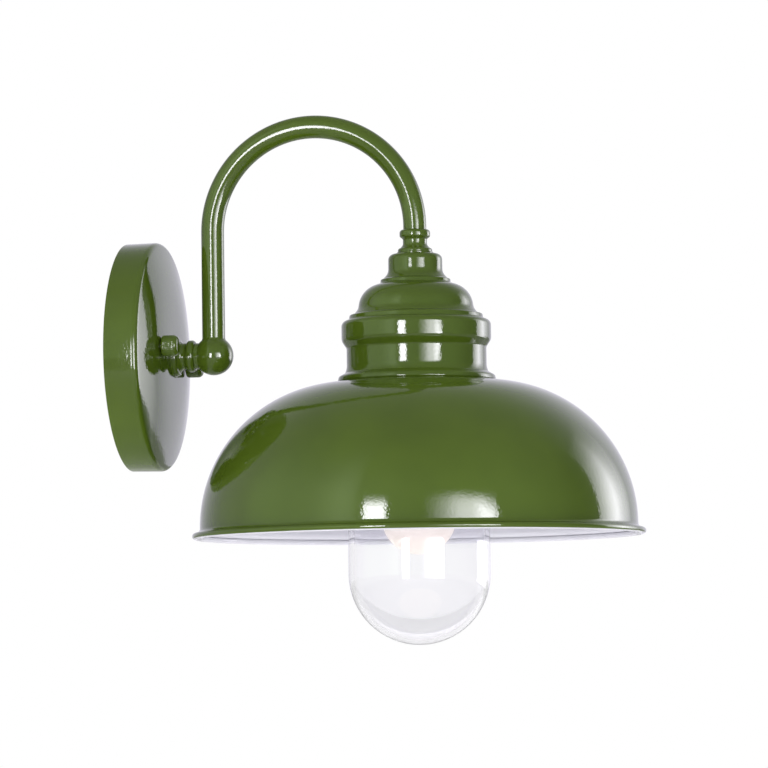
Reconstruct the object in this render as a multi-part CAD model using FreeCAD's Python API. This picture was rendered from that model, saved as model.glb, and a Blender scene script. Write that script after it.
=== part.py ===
"""Gooseneck wall sconce: a round wall plate, a bent tube arm and a domed shade over a glass jar.

All sizes are millimetres. The wall is the plane X = 0 and +X points away from it, +Z is up,
and the origin is the middle of the wall plate's back. Turned pieces are drawn as outlines of
(radius, height) and revolved about their own axis.
"""
import FreeCAD, Part
import math
import os

Vector = FreeCAD.Vector
UP = Vector(0, 0, 1)
OUT = Vector(1, 0, 0)
ORIGIN = Vector(0, 0, 0)
FULL_TURN = 360.0

# --- Stock, threads and fits shared by several pieces -----------------------------------------
SHEET = 1.2                 # pressed and spun steel of the plate, the bell and the shade
THREAD_R = 5.0              # M10 x 1 thread of the two hollow nipples
NIPPLE_BORE_R = 3.8         # the wires' way through a nipple
THREAD_FIT = 0.05           # thread to tapped hole, on the radius
HOLE_PLAY = 0.2             # nipple to drilled hole, on the radius
SLIP_FIT = 0.05             # tube to spigot or socket, on the radius
NUT_FLATS = 14.0            # lock nut of the M10 thread
NUT_HEIGHT = 4.0
NUT_CHAMFER = 0.6
WASHER_R = 9.0
WASHER_THICK = 1.2
NIPPLE_TAIL = 4.0           # thread that shows past a lock nut
THREAD_BITE = 7.5           # thread screwed into the elbow or the neck coupling
THREAD_SPARE = 1.0          # tapped depth left beyond the nipple

# --- Wall plate -------------------------------------------------------------------------------
PLATE_R = 77.5
PLATE_SIDE = 22.0           # depth of the straight rim
PLATE_CROWN = 8.0           # rise of the domed face above the rim
PLATE_EDGE_R = 4.0          # rounding between rim and face
PLATE_SEAT_R = 18.0         # flat seat in the middle, under the arm

# --- Studs, bracket and cap nuts: two studs on a line turned a little from level --------------
STUD_SPACING = 70.0
STUD_TURN = 8.0             # degrees; the stud nearer the viewer is the higher one
STUD_R = 2.0
STUD_PLAY = 0.3             # stud to hole, on the radius
STUD_HEAD_R = 3.4
STUD_HEAD_THICK = 2.4
STUD_HEAD_ROUND = 1.0
STUD_NUT_FLATS = 7.0
STUD_NUT_HEIGHT = 3.2
CAP_NUT_R = 7.05
CAP_NUT_LENGTH = 11.2
CAP_NUT_BASE_ROUND = 1.4
CAP_NUT_TIP_ROUND = 3.2
CAP_NUT_BORE = 8.5          # depth of the blind thread
CAP_NUT_CLEAR = 0.1         # nut to the crown of the plate
CAP_NUT_FIT = 0.1           # nut thread to stud, on the radius
BRACKET_WIDTH = 22.0
BRACKET_THICK = 2.0
BRACKET_RISE = 6.0          # wall to the back of the raised middle
BRACKET_BEND_R = 2.0
BRACKET_STUD_EDGE = 6.2     # stud to the bend beside it
WALL_HOLE_STEP = 13.0       # stud to wall screw hole
WALL_HOLE_EDGE = 4.2        # wall screw hole to the bend beside it
WALL_HOLE_END = 11.0        # wall screw hole to the end of the bracket
WALL_HOLE_R = 2.6
CABLE_HOLE_R = 6.5          # supply cable through the bracket

# --- Terminal block and earth screw on the bracket --------------------------------------------
BLOCK_LENGTH = 18.0
BLOCK_WIDTH = 17.0
BLOCK_HEIGHT = 11.0
BLOCK_START = 11.5          # middle of the bracket to the block
BLOCK_ROUND = 0.8
POLE_PITCH = 8.0
POLE_HOLE_R = 1.6
BLOCK_GROOVE = 1.6          # width of the notch between the two poles
BLOCK_GROOVE_DEPTH = 3.0
CLAMP_SCREW_R = 1.5
CLAMP_SCREW_END = 4.0       # end of the block to the screw's middle
CLAMP_SCREW_SINK = 0.8      # screw top below the block's face
EARTH_SCREW_AT = 20.0       # middle of the bracket to the earth screw
EARTH_SCREW_R = 2.0
EARTH_HEAD_R = 4.2
EARTH_HEAD_THICK = 2.4
EARTH_HEAD_ROUND = 1.0

# --- Turned couplings: flange, hollow waist and bead ------------------------------------------
FLANGE_EDGE = 1.1           # thickness of the flange's rim
FLANGE_EDGE_R = 0.4
FLANGE_STEP = 0.7           # step in from the rim to the shoulder
SHOULDER_TOP = 3.5          # height of the rounded shoulder
SHOULDER_R = 1.8
HOLLOW_LIP = 1.9            # where the hollow starts, out from the waist
HOLLOW_DROP = 0.4
HOLLOW_TOP = 6.0            # height where the hollow reaches the waist
HOLLOW_R = 3.0
BEAD_RISE = 1.6             # slope from the waist out to the bead
BEAD_FOOT_R = 1.5
BEAD_LOW_R = 1.8
BEAD_TOP_R = 2.3
WALL_FLANGE_R = 14.0
WALL_WAIST_R = 8.9
WALL_BEAD_R = 10.8
WALL_WAIST = 2.7            # straight length of the waist
WALL_BEAD = 4.4             # height of the bead
NECK_FLANGE_R = 12.3
NECK_WAIST_R = 8.1
NECK_BEAD_R = 10.3
NECK_WAIST = 4.0
NECK_BEAD = 4.8
NECK_WEB = 1.9              # metal between the nipple's thread and the tube's socket
NECK_PASSAGE_R = 4.2        # the wires' way through that web

# --- Arm: ball elbow and bent tube ------------------------------------------------------------
TUBE_R = 7.75
TUBE_WALL = 1.2
REACH = 139.4               # from the upright's axis to the shade's axis
ARCH_SPRING = 83.3          # height above the elbow where the half circle starts
BALL_R = 13.25
BALL_FACE = 12.5            # ball's centre to the flat face that meets the coupling
BALL_BOSS_R = 8.8
BALL_NECK = 15.0            # ball's centre to the end of the tube
BALL_FILLET_R = 2.5         # hollow rounding between ball and neck
SPIGOT_LENGTH = 8.0         # plug of the elbow inside the tube
WIRE_WAY_R = 4.0            # drilled way for the wires through the ball

# --- Bell cap: four tiers, from the neck down to the shade ------------------------------------
BELL_TOP = 64.6             # height above the elbow's axis
CAP_TIER = 19.1             # heights of the tiers
DOME_TIER = 24.4
BAND_TIER = 20.3
SKIRT_TIER = 22.4
CAP_R = 18.1                # radii of the tiers
LEDGE_R = 23.6
DOME_R = 36.6
STEP_R = 45.1
BAND_R = 50.2
WAIST_R = 46.9
SKIRT_R = 53.0
CAP_ROUND = 4.0
CAP_DRAFT = 0.6             # the cap is this much wider at its foot
CAP_COVE = 5.8              # height of the hollow at its foot
CAP_COVE_R = 11.0
CREASE_OUT = 0.4            # small crease that parts two tiers
CREASE_DOWN = 0.7
DOME_FALL = 3.9             # slope of the dome's top
DOME_ROUND = 16.0
DOME_DRAFT = 2.3            # the dome is this much wider at its foot
DOME_COVE = 5.8
DOME_COVE_R = 6.5
BAND_FALL = 1.3
BAND_ROUND = 4.9
BAND_FOOT = 3.8             # height of the slope under the band
BAND_FOOT_R = 4.0
WAIST_TOP_R = 2.0
SKIRT_LIP = 4.5             # straight lip that stands on the shade
SKIRT_LIP_R = 1.2
SKIRT_BEAD_OUT = 1.8        # fine bead above the lip
SKIRT_BEAD_DOWN = 0.8
SKIRT_CREASE_OUT = 0.6
SKIRT_CREASE_DOWN = 0.4
SKIRT_FLARE = 4.8           # height of the flare below the waist
SKIRT_COVE_R = 16.5

# --- Dome shade -------------------------------------------------------------------------------
SHADE_HOLE_R = 40.0
SHADE_FLAT_R = 50.0         # flat top under the bell
SHADE_BEND_R = 96.5         # the dome is a quarter circle of this radius
SHADE_LIP_R = 3.0           # outward lip at the mouth
RIM_BEAD_R = 2.2            # rolled rim around the mouth
SEAL_INNER_R = 41.0
SEAL_THICK = 1.0

# --- Glass carrier, jar and gasket ------------------------------------------------------------
CARRIER_R = 50.0
CARRIER_THICK = 2.5
CARRIER_ROUND = 1.0
COLLAR_WALL = 5.0
COLLAR_DEPTH = 17.0
JAR_NECK_R = 42.5
JAR_NECK = 16.8             # length of the screwed neck
JAR_NECK_ROUND = 3.0
JAR_SHOULDER = 4.0          # height of the shoulder
JAR_SHOULDER_ROUND = 5.0
JAR_R = 47.5
JAR_BODY = 99.8             # straight side, from the shoulder to the round end
JAR_WALL = 3.5
JAR_FIT = 0.5               # neck to collar, on the radius
GASKET_THICK = 3.0
GASKET_INNER_R = 38.6
GASKET_FIT = 0.3            # gasket to collar, on the radius

# --- Lampholder -------------------------------------------------------------------------------
HOLDER_GAP = 0.3            # lock nut to lampholder cap
HOLDER_R = 19.0
HOLDER_BUSH_R = 7.5
HOLDER_BUSH_ROUND = 0.8
HOLDER_BUSH = 5.5           # height of the tapped bush
HOLDER_CAP_WALL = 1.2
HOLDER_CAP_HEIGHT = 13.0
HOLDER_CAP_FALL = 3.0       # slope of the cap's top
HOLDER_CAP_ROUND = 3.5
HOLDER_LENGTH = 36.0
HOLDER_ROUND = 1.5
INSERT_THICK = 4.0
INSERT_LEDGE = 1.9          # ledge of the body under the insert
INSERT_FIT = 0.05
INSERT_WIRE_R = 2.0         # hole for the contact's rivet
TERMINAL_SIZE = 5.0
TERMINAL_HEIGHT = 4.5
TERMINAL_AT = 9.5           # axis of the lampholder to a terminal's middle
SHELL_R = 13.6              # inside of the screw shell
SHELL_WALL = 0.5
SHELL_LENGTH = 28.0
SHELL_TOP_HOLE_R = 10.0
SHELL_BEND_R = 1.0
CONTACT_R = 3.0
CONTACT_THICK = 0.8
CONTACT_ROUND = 0.4

# --- Bulb -------------------------------------------------------------------------------------
CONTACT_GAP = 0.3           # holder's contact to the bulb's
PIP_R = 4.4
PIP_HEIGHT = 1.3
PIP_ROUND = 0.9
INSULATOR_R = 9.5
INSULATOR_HEIGHT = 2.7
BULB_CAP_FIT = 0.35         # bulb cap to screw shell, on the radius
BULB_CAP_SLOPE = 2.5
BULB_CAP_LENGTH = 20.9
BULB_CAP_WALL = 0.4
BULB_CAP_ROUND = 1.5
BULB_NECK_FIT = 0.1         # glass neck to the inside of its cap
BULB_NECK_IN = 6.0          # glass inside the cap
BULB_NECK_CURVE_R = 30.0    # hollow curve of the neck
BULB_R = 25.0
BULB_WALL = 0.8

# --- Wires ------------------------------------------------------------------------------------
WIRE_R = 1.1
WIRE_PITCH = 2.4            # side by side through the arm
WIRE_BEND_R = 3.0
WIRE_ELBOW_R = 4.0
WIRE_STAGGER = 3.5          # the three wires turn off behind one another
WIRE_IN_CLAMP = 6.0         # stripped end inside the terminal block
WIRE_SEAT = 0.1             # wire to the metal that it lies on
WIRE_DROP = 4.0             # nipple's end to the bend below it
WIRE_DIP = 1.2              # fall from that bend to the terminals
WIRE_END_PLAY = 0.5

# --- Places worked out from the sizes above ---------------------------------------------------
PLATE_FRONT = PLATE_SIDE + PLATE_CROWN
BRACKET_FRONT = BRACKET_RISE + BRACKET_THICK
WALL_COUPLING = HOLLOW_TOP + WALL_WAIST + BEAD_RISE + WALL_BEAD
NECK_COUPLING = HOLLOW_TOP + NECK_WAIST + BEAD_RISE + NECK_BEAD
ELBOW_FACE_X = PLATE_FRONT + WALL_COUPLING
BALL_X = ELBOW_FACE_X + BALL_FACE
SHADE_X = BALL_X + REACH
ARM_NIPPLE_START = PLATE_FRONT - SHEET - WASHER_THICK - NUT_HEIGHT - NIPPLE_TAIL
ARM_NIPPLE_END = ELBOW_FACE_X + THREAD_BITE
CAP_NUT_BASE = PLATE_FRONT + CAP_NUT_CLEAR
TAP_DEPTH = THREAD_BITE + THREAD_SPARE
SOCKET_FLOOR = TAP_DEPTH + NECK_WEB
TUBE_END = BELL_TOP + SOCKET_FLOOR
SHADE_TOP = BELL_TOP - CAP_TIER - DOME_TIER - BAND_TIER - SKIRT_TIER
SHADE_R = SHADE_FLAT_R + SHADE_BEND_R
SHADE_MOUTH = SHADE_TOP - SHADE_BEND_R - SHADE_LIP_R
CARRIER_TOP = SHADE_TOP - SHEET - SEAL_THICK
CARRIER_UNDER = CARRIER_TOP - CARRIER_THICK
COLLAR_INNER_R = JAR_NECK_R + JAR_FIT
JAR_TOP = CARRIER_UNDER - GASKET_THICK
HOLDER_TOP = CARRIER_UNDER - WASHER_THICK - NUT_HEIGHT - HOLDER_GAP
HOLDER_SEAM = HOLDER_TOP - HOLDER_CAP_HEIGHT
NIPPLE_BOTTOM = HOLDER_TOP - HOLDER_BUSH
INSERT_UNDER = HOLDER_SEAM - INSERT_THICK
BULB_TIP = INSERT_UNDER - CONTACT_THICK - CONTACT_GAP
BULB_CAP_R = SHELL_R - BULB_CAP_FIT
BULB_CAP_TOP = BULB_TIP - PIP_HEIGHT - INSULATOR_HEIGHT
BULB_CAP_END = BULB_CAP_TOP - BULB_CAP_SLOPE - BULB_CAP_LENGTH


# --- Drawing helpers --------------------------------------------------------------------------
def rounded_edges(points, radii, closed):
    """Lines through the points, with each corner rounded by an arc of its radius."""
    count = len(points)
    starts, ends, arcs = [], [], []
    for i, point in enumerate(points):
        inner = closed or 0 < i < count - 1
        if not inner or radii[i] <= 0:
            starts.append(point)
            ends.append(point)
            arcs.append(None)
            continue
        back = (points[i - 1] - point).normalize()
        ahead = (points[(i + 1) % count] - point).normalize()
        half = back.getAngle(ahead) / 2
        middle = (back + ahead).normalize()
        tangent = radii[i] / math.tan(half)
        crown = point + middle * (radii[i] / math.sin(half) - radii[i])
        starts.append(point + back * tangent)
        ends.append(point + ahead * tangent)
        arcs.append(Part.Arc(starts[i], crown, ends[i]).toShape())
    edges = []
    for i in range(count):
        if arcs[i]:
            edges.append(arcs[i])
        following = starts[(i + 1) % count]
        last = i == count - 1
        if (closed or not last) and ends[i].distanceToPoint(following) > 1e-6:
            edges.append(Part.makeLine(ends[i], following))
    return edges


def outline_edges(corners):
    """A closed outline from (radius, height) or (radius, height, rounding) corners."""
    points = [Vector(corner[0], 0, corner[1]) for corner in corners]
    radii = [corner[2] if len(corner) > 2 else 0.0 for corner in corners]
    return rounded_edges(points, radii, closed=True)


def revolved(edges):
    """The solid swept by a closed outline about the Z axis."""
    face = Part.Face(Part.Wire(Part.__sortEdges__(edges)))
    return face.revolve(ORIGIN, UP, FULL_TURN)


def turned(corners):
    return revolved(outline_edges(corners))


def sheet_corners(path, wall):
    """Both sides of a sheet: the path given, and its copy one wall thickness to the right."""
    inner = []
    for i, corner in enumerate(path):
        sides = []
        for a, b in ((i - 1, i), (i, i + 1)):
            if a >= 0 and b < len(path):
                along = (path[b][0] - path[a][0], path[b][1] - path[a][1])
                length = math.hypot(*along)
                sides.append((along[1] / length, -along[0] / length))
        first, second = sides[0], sides[-1]
        scale = wall / (1 + first[0] * second[0] + first[1] * second[1])
        place = (corner[0] + scale * (first[0] + second[0]), corner[1] + scale * (first[1] + second[1]))
        rounding = 0.0
        if len(corner) > 2:
            turns_right = first[0] * second[1] - first[1] * second[0] < 0
            rounding = max(corner[2] - wall, 0.0) if turns_right else corner[2] + wall
        inner.append(place + (rounding,))
    return list(path) + inner[::-1]


def spun_sheet(path, wall):
    return turned(sheet_corners(path, wall))


def ring(outer, inner, low, high):
    """A plain ring about the Z axis."""
    return turned([(inner, low), (outer, low), (outer, high), (inner, high)])


def rod(radius, start, end):
    """A round bar between two points."""
    return Part.makeCylinder(radius, (end - start).Length, start, end - start)


def along_x(shape, x):
    """Lay a piece that was turned about Z along X, its base at x."""
    laid = shape.copy()
    laid.rotate(ORIGIN, Vector(0, 1, 0), 90)
    laid.translate(Vector(x, 0, 0))
    return laid


def at_shade(shape, height=0.0):
    """Move a piece that was turned about Z to the shade's axis."""
    moved = shape.copy()
    moved.translate(Vector(SHADE_X, 0, height))
    return moved


def hex_nut(flats, height, bore):
    """A nut with its base at Z = 0, its corners chamfered at both ends."""
    corner_r = flats / math.sqrt(3)
    corners = [Vector(corner_r * math.cos(math.radians(60 * k)),
                      corner_r * math.sin(math.radians(60 * k)), 0) for k in range(7)]
    prism = Part.Face(Part.makePolygon(corners)).extrude(UP * height)
    blunt = corner_r - NUT_CHAMFER
    envelope = turned([(bore, 0), (blunt, 0), (corner_r, NUT_CHAMFER), (corner_r, height - NUT_CHAMFER),
                       (blunt, height), (bore, height)])
    return prism.common(envelope)


def pipe(points, radii, radius):
    """A round bar bent along a path."""
    spine = Part.Wire(rounded_edges(points, radii, closed=False))
    start = spine.Edges[0].valueAt(spine.Edges[0].FirstParameter)
    heading = (points[1] - points[0]).normalize()
    mouth = Part.Wire(Part.Circle(start, heading, radius).toShape())
    return spine.makePipeShell([mouth], True, False)


def on_bracket(x, along, across):
    """A point given along and across the bracket, which is turned about X."""
    turn = math.radians(-STUD_TURN)
    y = along * math.cos(turn) - across * math.sin(turn)
    z = along * math.sin(turn) + across * math.cos(turn)
    return Vector(x, y, z)


def turn_with_bracket(shape):
    shape.rotate(ORIGIN, OUT, -STUD_TURN)
    return shape


def stud_points(x):
    """The near and the far stud's axis at a given X."""
    return [on_bracket(x, side * STUD_SPACING / 2, 0) for side in (-1, 1)]


def stand_on(shape, point):
    """Lay a turned piece along X with its base at a point."""
    laid = along_x(shape, point.x)
    laid.translate(Vector(0, point.y, point.z))
    return laid


# --- Wall side --------------------------------------------------------------------------------
def wall_plate():
    """Pressed dish: straight rim, rounded edge and a domed face with a flat seat."""
    knee = (PLATE_SEAT_R + PLATE_R - PLATE_EDGE_R) / 2
    slope = math.atan2(PLATE_CROWN, PLATE_R - knee)
    dome_r = (knee - PLATE_SEAT_R) / math.tan(slope / 2)
    dish = along_x(spun_sheet([
        (THREAD_R + HOLE_PLAY, PLATE_FRONT),
        (knee, PLATE_FRONT, dome_r),
        (PLATE_R, PLATE_SIDE, PLATE_EDGE_R),
        (PLATE_R, 0),
    ], SHEET), 0)
    for point in stud_points(PLATE_SIDE - PLATE_EDGE_R):
        dish = dish.cut(rod(STUD_R + STUD_PLAY, point, point + OUT * PLATE_FRONT))
    return dish


def wall_bracket():
    """Hat-shaped strap: two feet on the wall and a raised middle that carries the studs."""
    end = STUD_SPACING / 2 + WALL_HOLE_STEP + WALL_HOLE_END
    foot = STUD_SPACING / 2 + WALL_HOLE_STEP - WALL_HOLE_EDGE
    top = STUD_SPACING / 2 + BRACKET_STUD_EDGE
    outer = BRACKET_BEND_R + BRACKET_THICK
    path = [
        (-end, BRACKET_THICK),
        (-foot, BRACKET_THICK, BRACKET_BEND_R),
        (-top, BRACKET_FRONT, outer),
        (top, BRACKET_FRONT, outer),
        (foot, BRACKET_THICK, BRACKET_BEND_R),
        (end, BRACKET_THICK),
    ]
    corners = sheet_corners(path, BRACKET_THICK)
    points = [Vector(corner[1], corner[0], -BRACKET_WIDTH / 2) for corner in corners]
    radii = [corner[2] if len(corner) > 2 else 0.0 for corner in corners]
    face = Part.Face(Part.Wire(Part.__sortEdges__(rounded_edges(points, radii, closed=True))))
    strap = turn_with_bracket(face.extrude(UP * BRACKET_WIDTH))
    hole_at = STUD_SPACING / 2 + WALL_HOLE_STEP
    drills = [rod(CABLE_HOLE_R, ORIGIN, OUT * PLATE_FRONT)]
    drills += [rod(WALL_HOLE_R, on_bracket(0, side * hole_at, 0), on_bracket(PLATE_SIDE, side * hole_at, 0))
               for side in (-1, 1)]
    drills += [rod(STUD_R + STUD_PLAY, point, point + OUT * PLATE_FRONT) for point in stud_points(0)]
    drills.append(rod(EARTH_SCREW_R + THREAD_FIT, on_bracket(0, -EARTH_SCREW_AT, 0),
                      on_bracket(PLATE_SIDE, -EARTH_SCREW_AT, 0)))
    for drill in drills:
        strap = strap.cut(drill)
    return strap


def plate_studs():
    """Two screws pushed through the bracket from behind."""
    length = CAP_NUT_BASE + CAP_NUT_BORE - THREAD_SPARE - BRACKET_RISE
    screw = turned([(0, -STUD_HEAD_THICK), (STUD_HEAD_R, -STUD_HEAD_THICK, STUD_HEAD_ROUND), (STUD_HEAD_R, 0),
                    (STUD_R, 0), (STUD_R, length), (0, length)])
    return Part.makeCompound([stand_on(screw, point) for point in stud_points(BRACKET_RISE)])


def stud_lock_nuts():
    nut = hex_nut(STUD_NUT_FLATS, STUD_NUT_HEIGHT, STUD_R + THREAD_FIT)
    return Part.makeCompound([stand_on(nut, point) for point in stud_points(BRACKET_FRONT)])


def cap_nut(side):
    """Barrel nut with a blind thread, on the near (0) or the far (1) stud."""
    bore = STUD_R + CAP_NUT_FIT
    nut = turned([
        (bore, 0),
        (CAP_NUT_R, 0, CAP_NUT_BASE_ROUND),
        (CAP_NUT_R, CAP_NUT_LENGTH, CAP_NUT_TIP_ROUND),
        (0, CAP_NUT_LENGTH),
        (0, CAP_NUT_BORE),
        (bore, CAP_NUT_BORE),
    ])
    return stand_on(nut, stud_points(CAP_NUT_BASE)[side])


def pole_offsets():
    return [side * POLE_PITCH / 2 for side in (1, -1)]


def terminal_block():
    """Two-pole block on the raised middle of the bracket, its wire holes along the bracket."""
    block = Part.makeBox(BLOCK_HEIGHT, BLOCK_LENGTH, BLOCK_WIDTH,
                         Vector(BRACKET_FRONT, BLOCK_START, -BLOCK_WIDTH / 2))
    block = block.makeFillet(BLOCK_ROUND, [edge for edge in block.Edges
                                           if edge.CenterOfMass.x > BRACKET_FRONT + BLOCK_HEIGHT / 2])
    groove = Part.makeBox(BLOCK_GROOVE_DEPTH, BLOCK_LENGTH, BLOCK_GROOVE,
                          Vector(BRACKET_FRONT + BLOCK_HEIGHT - BLOCK_GROOVE_DEPTH, BLOCK_START,
                                 -BLOCK_GROOVE / 2))
    block = turn_with_bracket(block.cut(groove))
    middle = BRACKET_FRONT + BLOCK_HEIGHT / 2
    for across in pole_offsets():
        block = block.cut(rod(POLE_HOLE_R, on_bracket(middle, BLOCK_START, across),
                              on_bracket(middle, BLOCK_START + BLOCK_LENGTH, across)))
        for along in clamp_places():
            block = block.cut(rod(CLAMP_SCREW_R + THREAD_FIT, on_bracket(middle, along, across),
                                  on_bracket(BRACKET_FRONT + BLOCK_HEIGHT, along, across)))
    return block


def clamp_places():
    return [BLOCK_START + CLAMP_SCREW_END, BLOCK_START + BLOCK_LENGTH - CLAMP_SCREW_END]


def terminal_screws():
    """Four clamp screws, down onto the wires from the front of the block."""
    low = BRACKET_FRONT + BLOCK_HEIGHT / 2 + WIRE_R
    high = BRACKET_FRONT + BLOCK_HEIGHT - CLAMP_SCREW_SINK
    places = [(along, across) for across in pole_offsets() for along in clamp_places()]
    return Part.makeCompound([rod(CLAMP_SCREW_R, on_bracket(low, *place), on_bracket(high, *place))
                              for place in places])


def earth_screw():
    """Screw that clamps the earth wire to the bracket."""
    under_head = 2 * WIRE_R + 2 * WIRE_SEAT
    head_top = under_head + EARTH_HEAD_THICK
    screw = turned([(0, -BRACKET_THICK), (EARTH_SCREW_R, -BRACKET_THICK), (EARTH_SCREW_R, under_head),
                    (EARTH_HEAD_R, under_head), (EARTH_HEAD_R, head_top, EARTH_HEAD_ROUND), (0, head_top)])
    return stand_on(screw, on_bracket(BRACKET_FRONT, -EARTH_SCREW_AT, 0))


# --- Arm --------------------------------------------------------------------------------------
def nipple(length):
    return ring(THREAD_R, NIPPLE_BORE_R, 0, length)


def lock_washer():
    return ring(WASHER_R, THREAD_R + HOLE_PLAY, 0, WASHER_THICK)


def lock_nut():
    return hex_nut(NUT_FLATS, NUT_HEIGHT, THREAD_R + THREAD_FIT)


def arm_nipple():
    return along_x(nipple(ARM_NIPPLE_END - ARM_NIPPLE_START), ARM_NIPPLE_START)


def arm_lock_washer():
    return along_x(lock_washer(), PLATE_FRONT - SHEET - WASHER_THICK)


def arm_lock_nut():
    return along_x(lock_nut(), PLATE_FRONT - SHEET - WASHER_THICK - NUT_HEIGHT)


def coupling_corners(flange_r, waist_r, bead_r, waist, bead):
    """Outside of a coupling: stepped flange, hollow down to the waist, bead at the far end."""
    bead_foot = HOLLOW_TOP + waist
    return [
        (flange_r, 0),
        (flange_r, FLANGE_EDGE, FLANGE_EDGE_R),
        (flange_r - FLANGE_STEP, FLANGE_EDGE),
        (flange_r - FLANGE_STEP, SHOULDER_TOP, SHOULDER_R),
        (waist_r + HOLLOW_LIP, SHOULDER_TOP + HOLLOW_DROP),
        (waist_r, HOLLOW_TOP, HOLLOW_R),
        (waist_r, bead_foot, BEAD_FOOT_R),
        (bead_r, bead_foot + BEAD_RISE, BEAD_LOW_R),
        (bead_r, bead_foot + BEAD_RISE + bead, BEAD_TOP_R),
    ]


def wall_coupling():
    bore = THREAD_R + HOLE_PLAY
    outside = coupling_corners(WALL_FLANGE_R, WALL_WAIST_R, WALL_BEAD_R, WALL_WAIST, WALL_BEAD)
    return along_x(turned(outside + [(bore, WALL_COUPLING), (bore, 0)]), PLATE_FRONT)


def neck_coupling():
    """Coupling on the bell: tapped for the nipple below, a socket for the tube above."""
    socket = TUBE_R + SLIP_FIT
    thread = THREAD_R + THREAD_FIT
    inside = [(socket, NECK_COUPLING), (socket, SOCKET_FLOOR), (NECK_PASSAGE_R, SOCKET_FLOOR),
              (NECK_PASSAGE_R, TAP_DEPTH), (thread, TAP_DEPTH), (thread, 0)]
    outside = coupling_corners(NECK_FLANGE_R, NECK_WAIST_R, NECK_BEAD_R, NECK_WAIST, NECK_BEAD)
    return at_shade(turned(outside + inside), BELL_TOP)


def arc_edge(radius, height, arc_r, start, end):
    """Arc of an outline about (radius, height), between two angles in degrees."""
    def at(angle):
        turn = math.radians(angle)
        return Vector(radius + arc_r * math.cos(turn), 0, height + arc_r * math.sin(turn))
    return Part.Arc(at(start), at((start + end) / 2), at(end)).toShape()


def line_through(corners):
    points = [Vector(radius, 0, height) for radius, height in corners]
    return [Part.makeLine(a, b) for a, b in zip(points, points[1:])]


def ball_elbow():
    """Ball with a boss towards the wall and a neck with a hollow fillet up to the tube."""
    spigot_r = TUBE_R - TUBE_WALL - SLIP_FIT
    fillet_x = TUBE_R + BALL_FILLET_R
    fillet_z = math.sqrt((BALL_R + BALL_FILLET_R) ** 2 - fillet_x ** 2)
    lean = math.degrees(math.atan2(fillet_z, fillet_x))
    top = BALL_NECK + SPIGOT_LENGTH
    edges = [arc_edge(0, 0, BALL_R, -90, lean), arc_edge(fillet_x, fillet_z, BALL_FILLET_R, 180 + lean, 180)]
    edges += line_through([(TUBE_R, fillet_z), (TUBE_R, BALL_NECK), (spigot_r, BALL_NECK), (spigot_r, top),
                           (0, top), (0, -BALL_R)])
    face = Vector(-BALL_FACE, 0, 0)
    ball = revolved(edges).fuse(rod(BALL_BOSS_R, face, ORIGIN))
    ball = ball.cut(Part.makeBox(BALL_R, 2 * BALL_R, 2 * BALL_R, face - Vector(BALL_R, BALL_R, BALL_R)))
    ball = ball.cut(rod(THREAD_R + THREAD_FIT, face, face + OUT * TAP_DEPTH))
    ball = ball.cut(rod(WIRE_WAY_R, face, ORIGIN))
    ball = ball.cut(rod(WIRE_WAY_R, ORIGIN, UP * top))
    ball = ball.cut(Part.makeSphere(WIRE_WAY_R))
    ball.translate(Vector(BALL_X, 0, 0))
    return ball


def arch_corners(y):
    """Corners of the arm's centre line: two quarter turns make the half circle."""
    top = ARCH_SPRING + REACH / 2
    return [Vector(BALL_X, y, top), Vector(SHADE_X, y, top)]


def arm_tube():
    points = [Vector(BALL_X, 0, BALL_NECK)] + arch_corners(0) + [Vector(SHADE_X, 0, TUBE_END)]
    radii = [0, REACH / 2, REACH / 2, 0]
    return pipe(points, radii, TUBE_R).cut(pipe(points, radii, TUBE_R - TUBE_WALL))


# --- Bell, shade and glass --------------------------------------------------------------------
def bell_cap():
    """Spun bell in four tiers: cap, dome, band and flared skirt, parted by fine creases."""
    cap_foot = BELL_TOP - CAP_TIER
    dome_foot = cap_foot - DOME_TIER
    band_foot = dome_foot - BAND_TIER
    lip_top = SHADE_TOP + SKIRT_LIP
    bead_top = lip_top + SKIRT_BEAD_DOWN
    flare_foot = bead_top + SKIRT_CREASE_DOWN
    bead_r = SKIRT_R - SKIRT_BEAD_OUT
    flare_r = bead_r - SKIRT_CREASE_OUT
    return at_shade(spun_sheet([
        (THREAD_R + HOLE_PLAY, BELL_TOP),
        (CAP_R, BELL_TOP, CAP_ROUND),
        (CAP_R + CAP_DRAFT, cap_foot + CAP_COVE, CAP_COVE_R),
        (LEDGE_R, cap_foot),
        (LEDGE_R + CREASE_OUT, cap_foot - CREASE_DOWN),
        (DOME_R, cap_foot - CREASE_DOWN - DOME_FALL, DOME_ROUND),
        (DOME_R + DOME_DRAFT, dome_foot + DOME_COVE, DOME_COVE_R),
        (STEP_R, dome_foot),
        (STEP_R + CREASE_OUT, dome_foot - CREASE_DOWN),
        (BAND_R, dome_foot - CREASE_DOWN - BAND_FALL, BAND_ROUND),
        (BAND_R, band_foot + BAND_FOOT, BAND_FOOT_R),
        (WAIST_R, band_foot, WAIST_TOP_R),
        (WAIST_R, flare_foot + SKIRT_FLARE, SKIRT_COVE_R),
        (flare_r, flare_foot),
        (bead_r, bead_top),
        (SKIRT_R, lip_top, SKIRT_LIP_R),
        (SKIRT_R, SHADE_TOP),
    ], SHEET))


def dome_shade():
    """Spun dome: flat top, quarter-circle side, short outward lip and a rolled rim."""
    mouth_r = SHADE_R + SHADE_LIP_R
    dome = spun_sheet([
        (SHADE_HOLE_R, SHADE_TOP),
        (SHADE_R, SHADE_TOP, SHADE_BEND_R),
        (SHADE_R, SHADE_MOUTH, SHADE_LIP_R),
        (mouth_r, SHADE_MOUTH),
    ], SHEET)
    rim = Part.makeTorus(mouth_r, RIM_BEAD_R, Vector(0, 0, SHADE_MOUTH - RIM_BEAD_R), UP)
    return at_shade(dome.fuse(rim))


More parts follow.
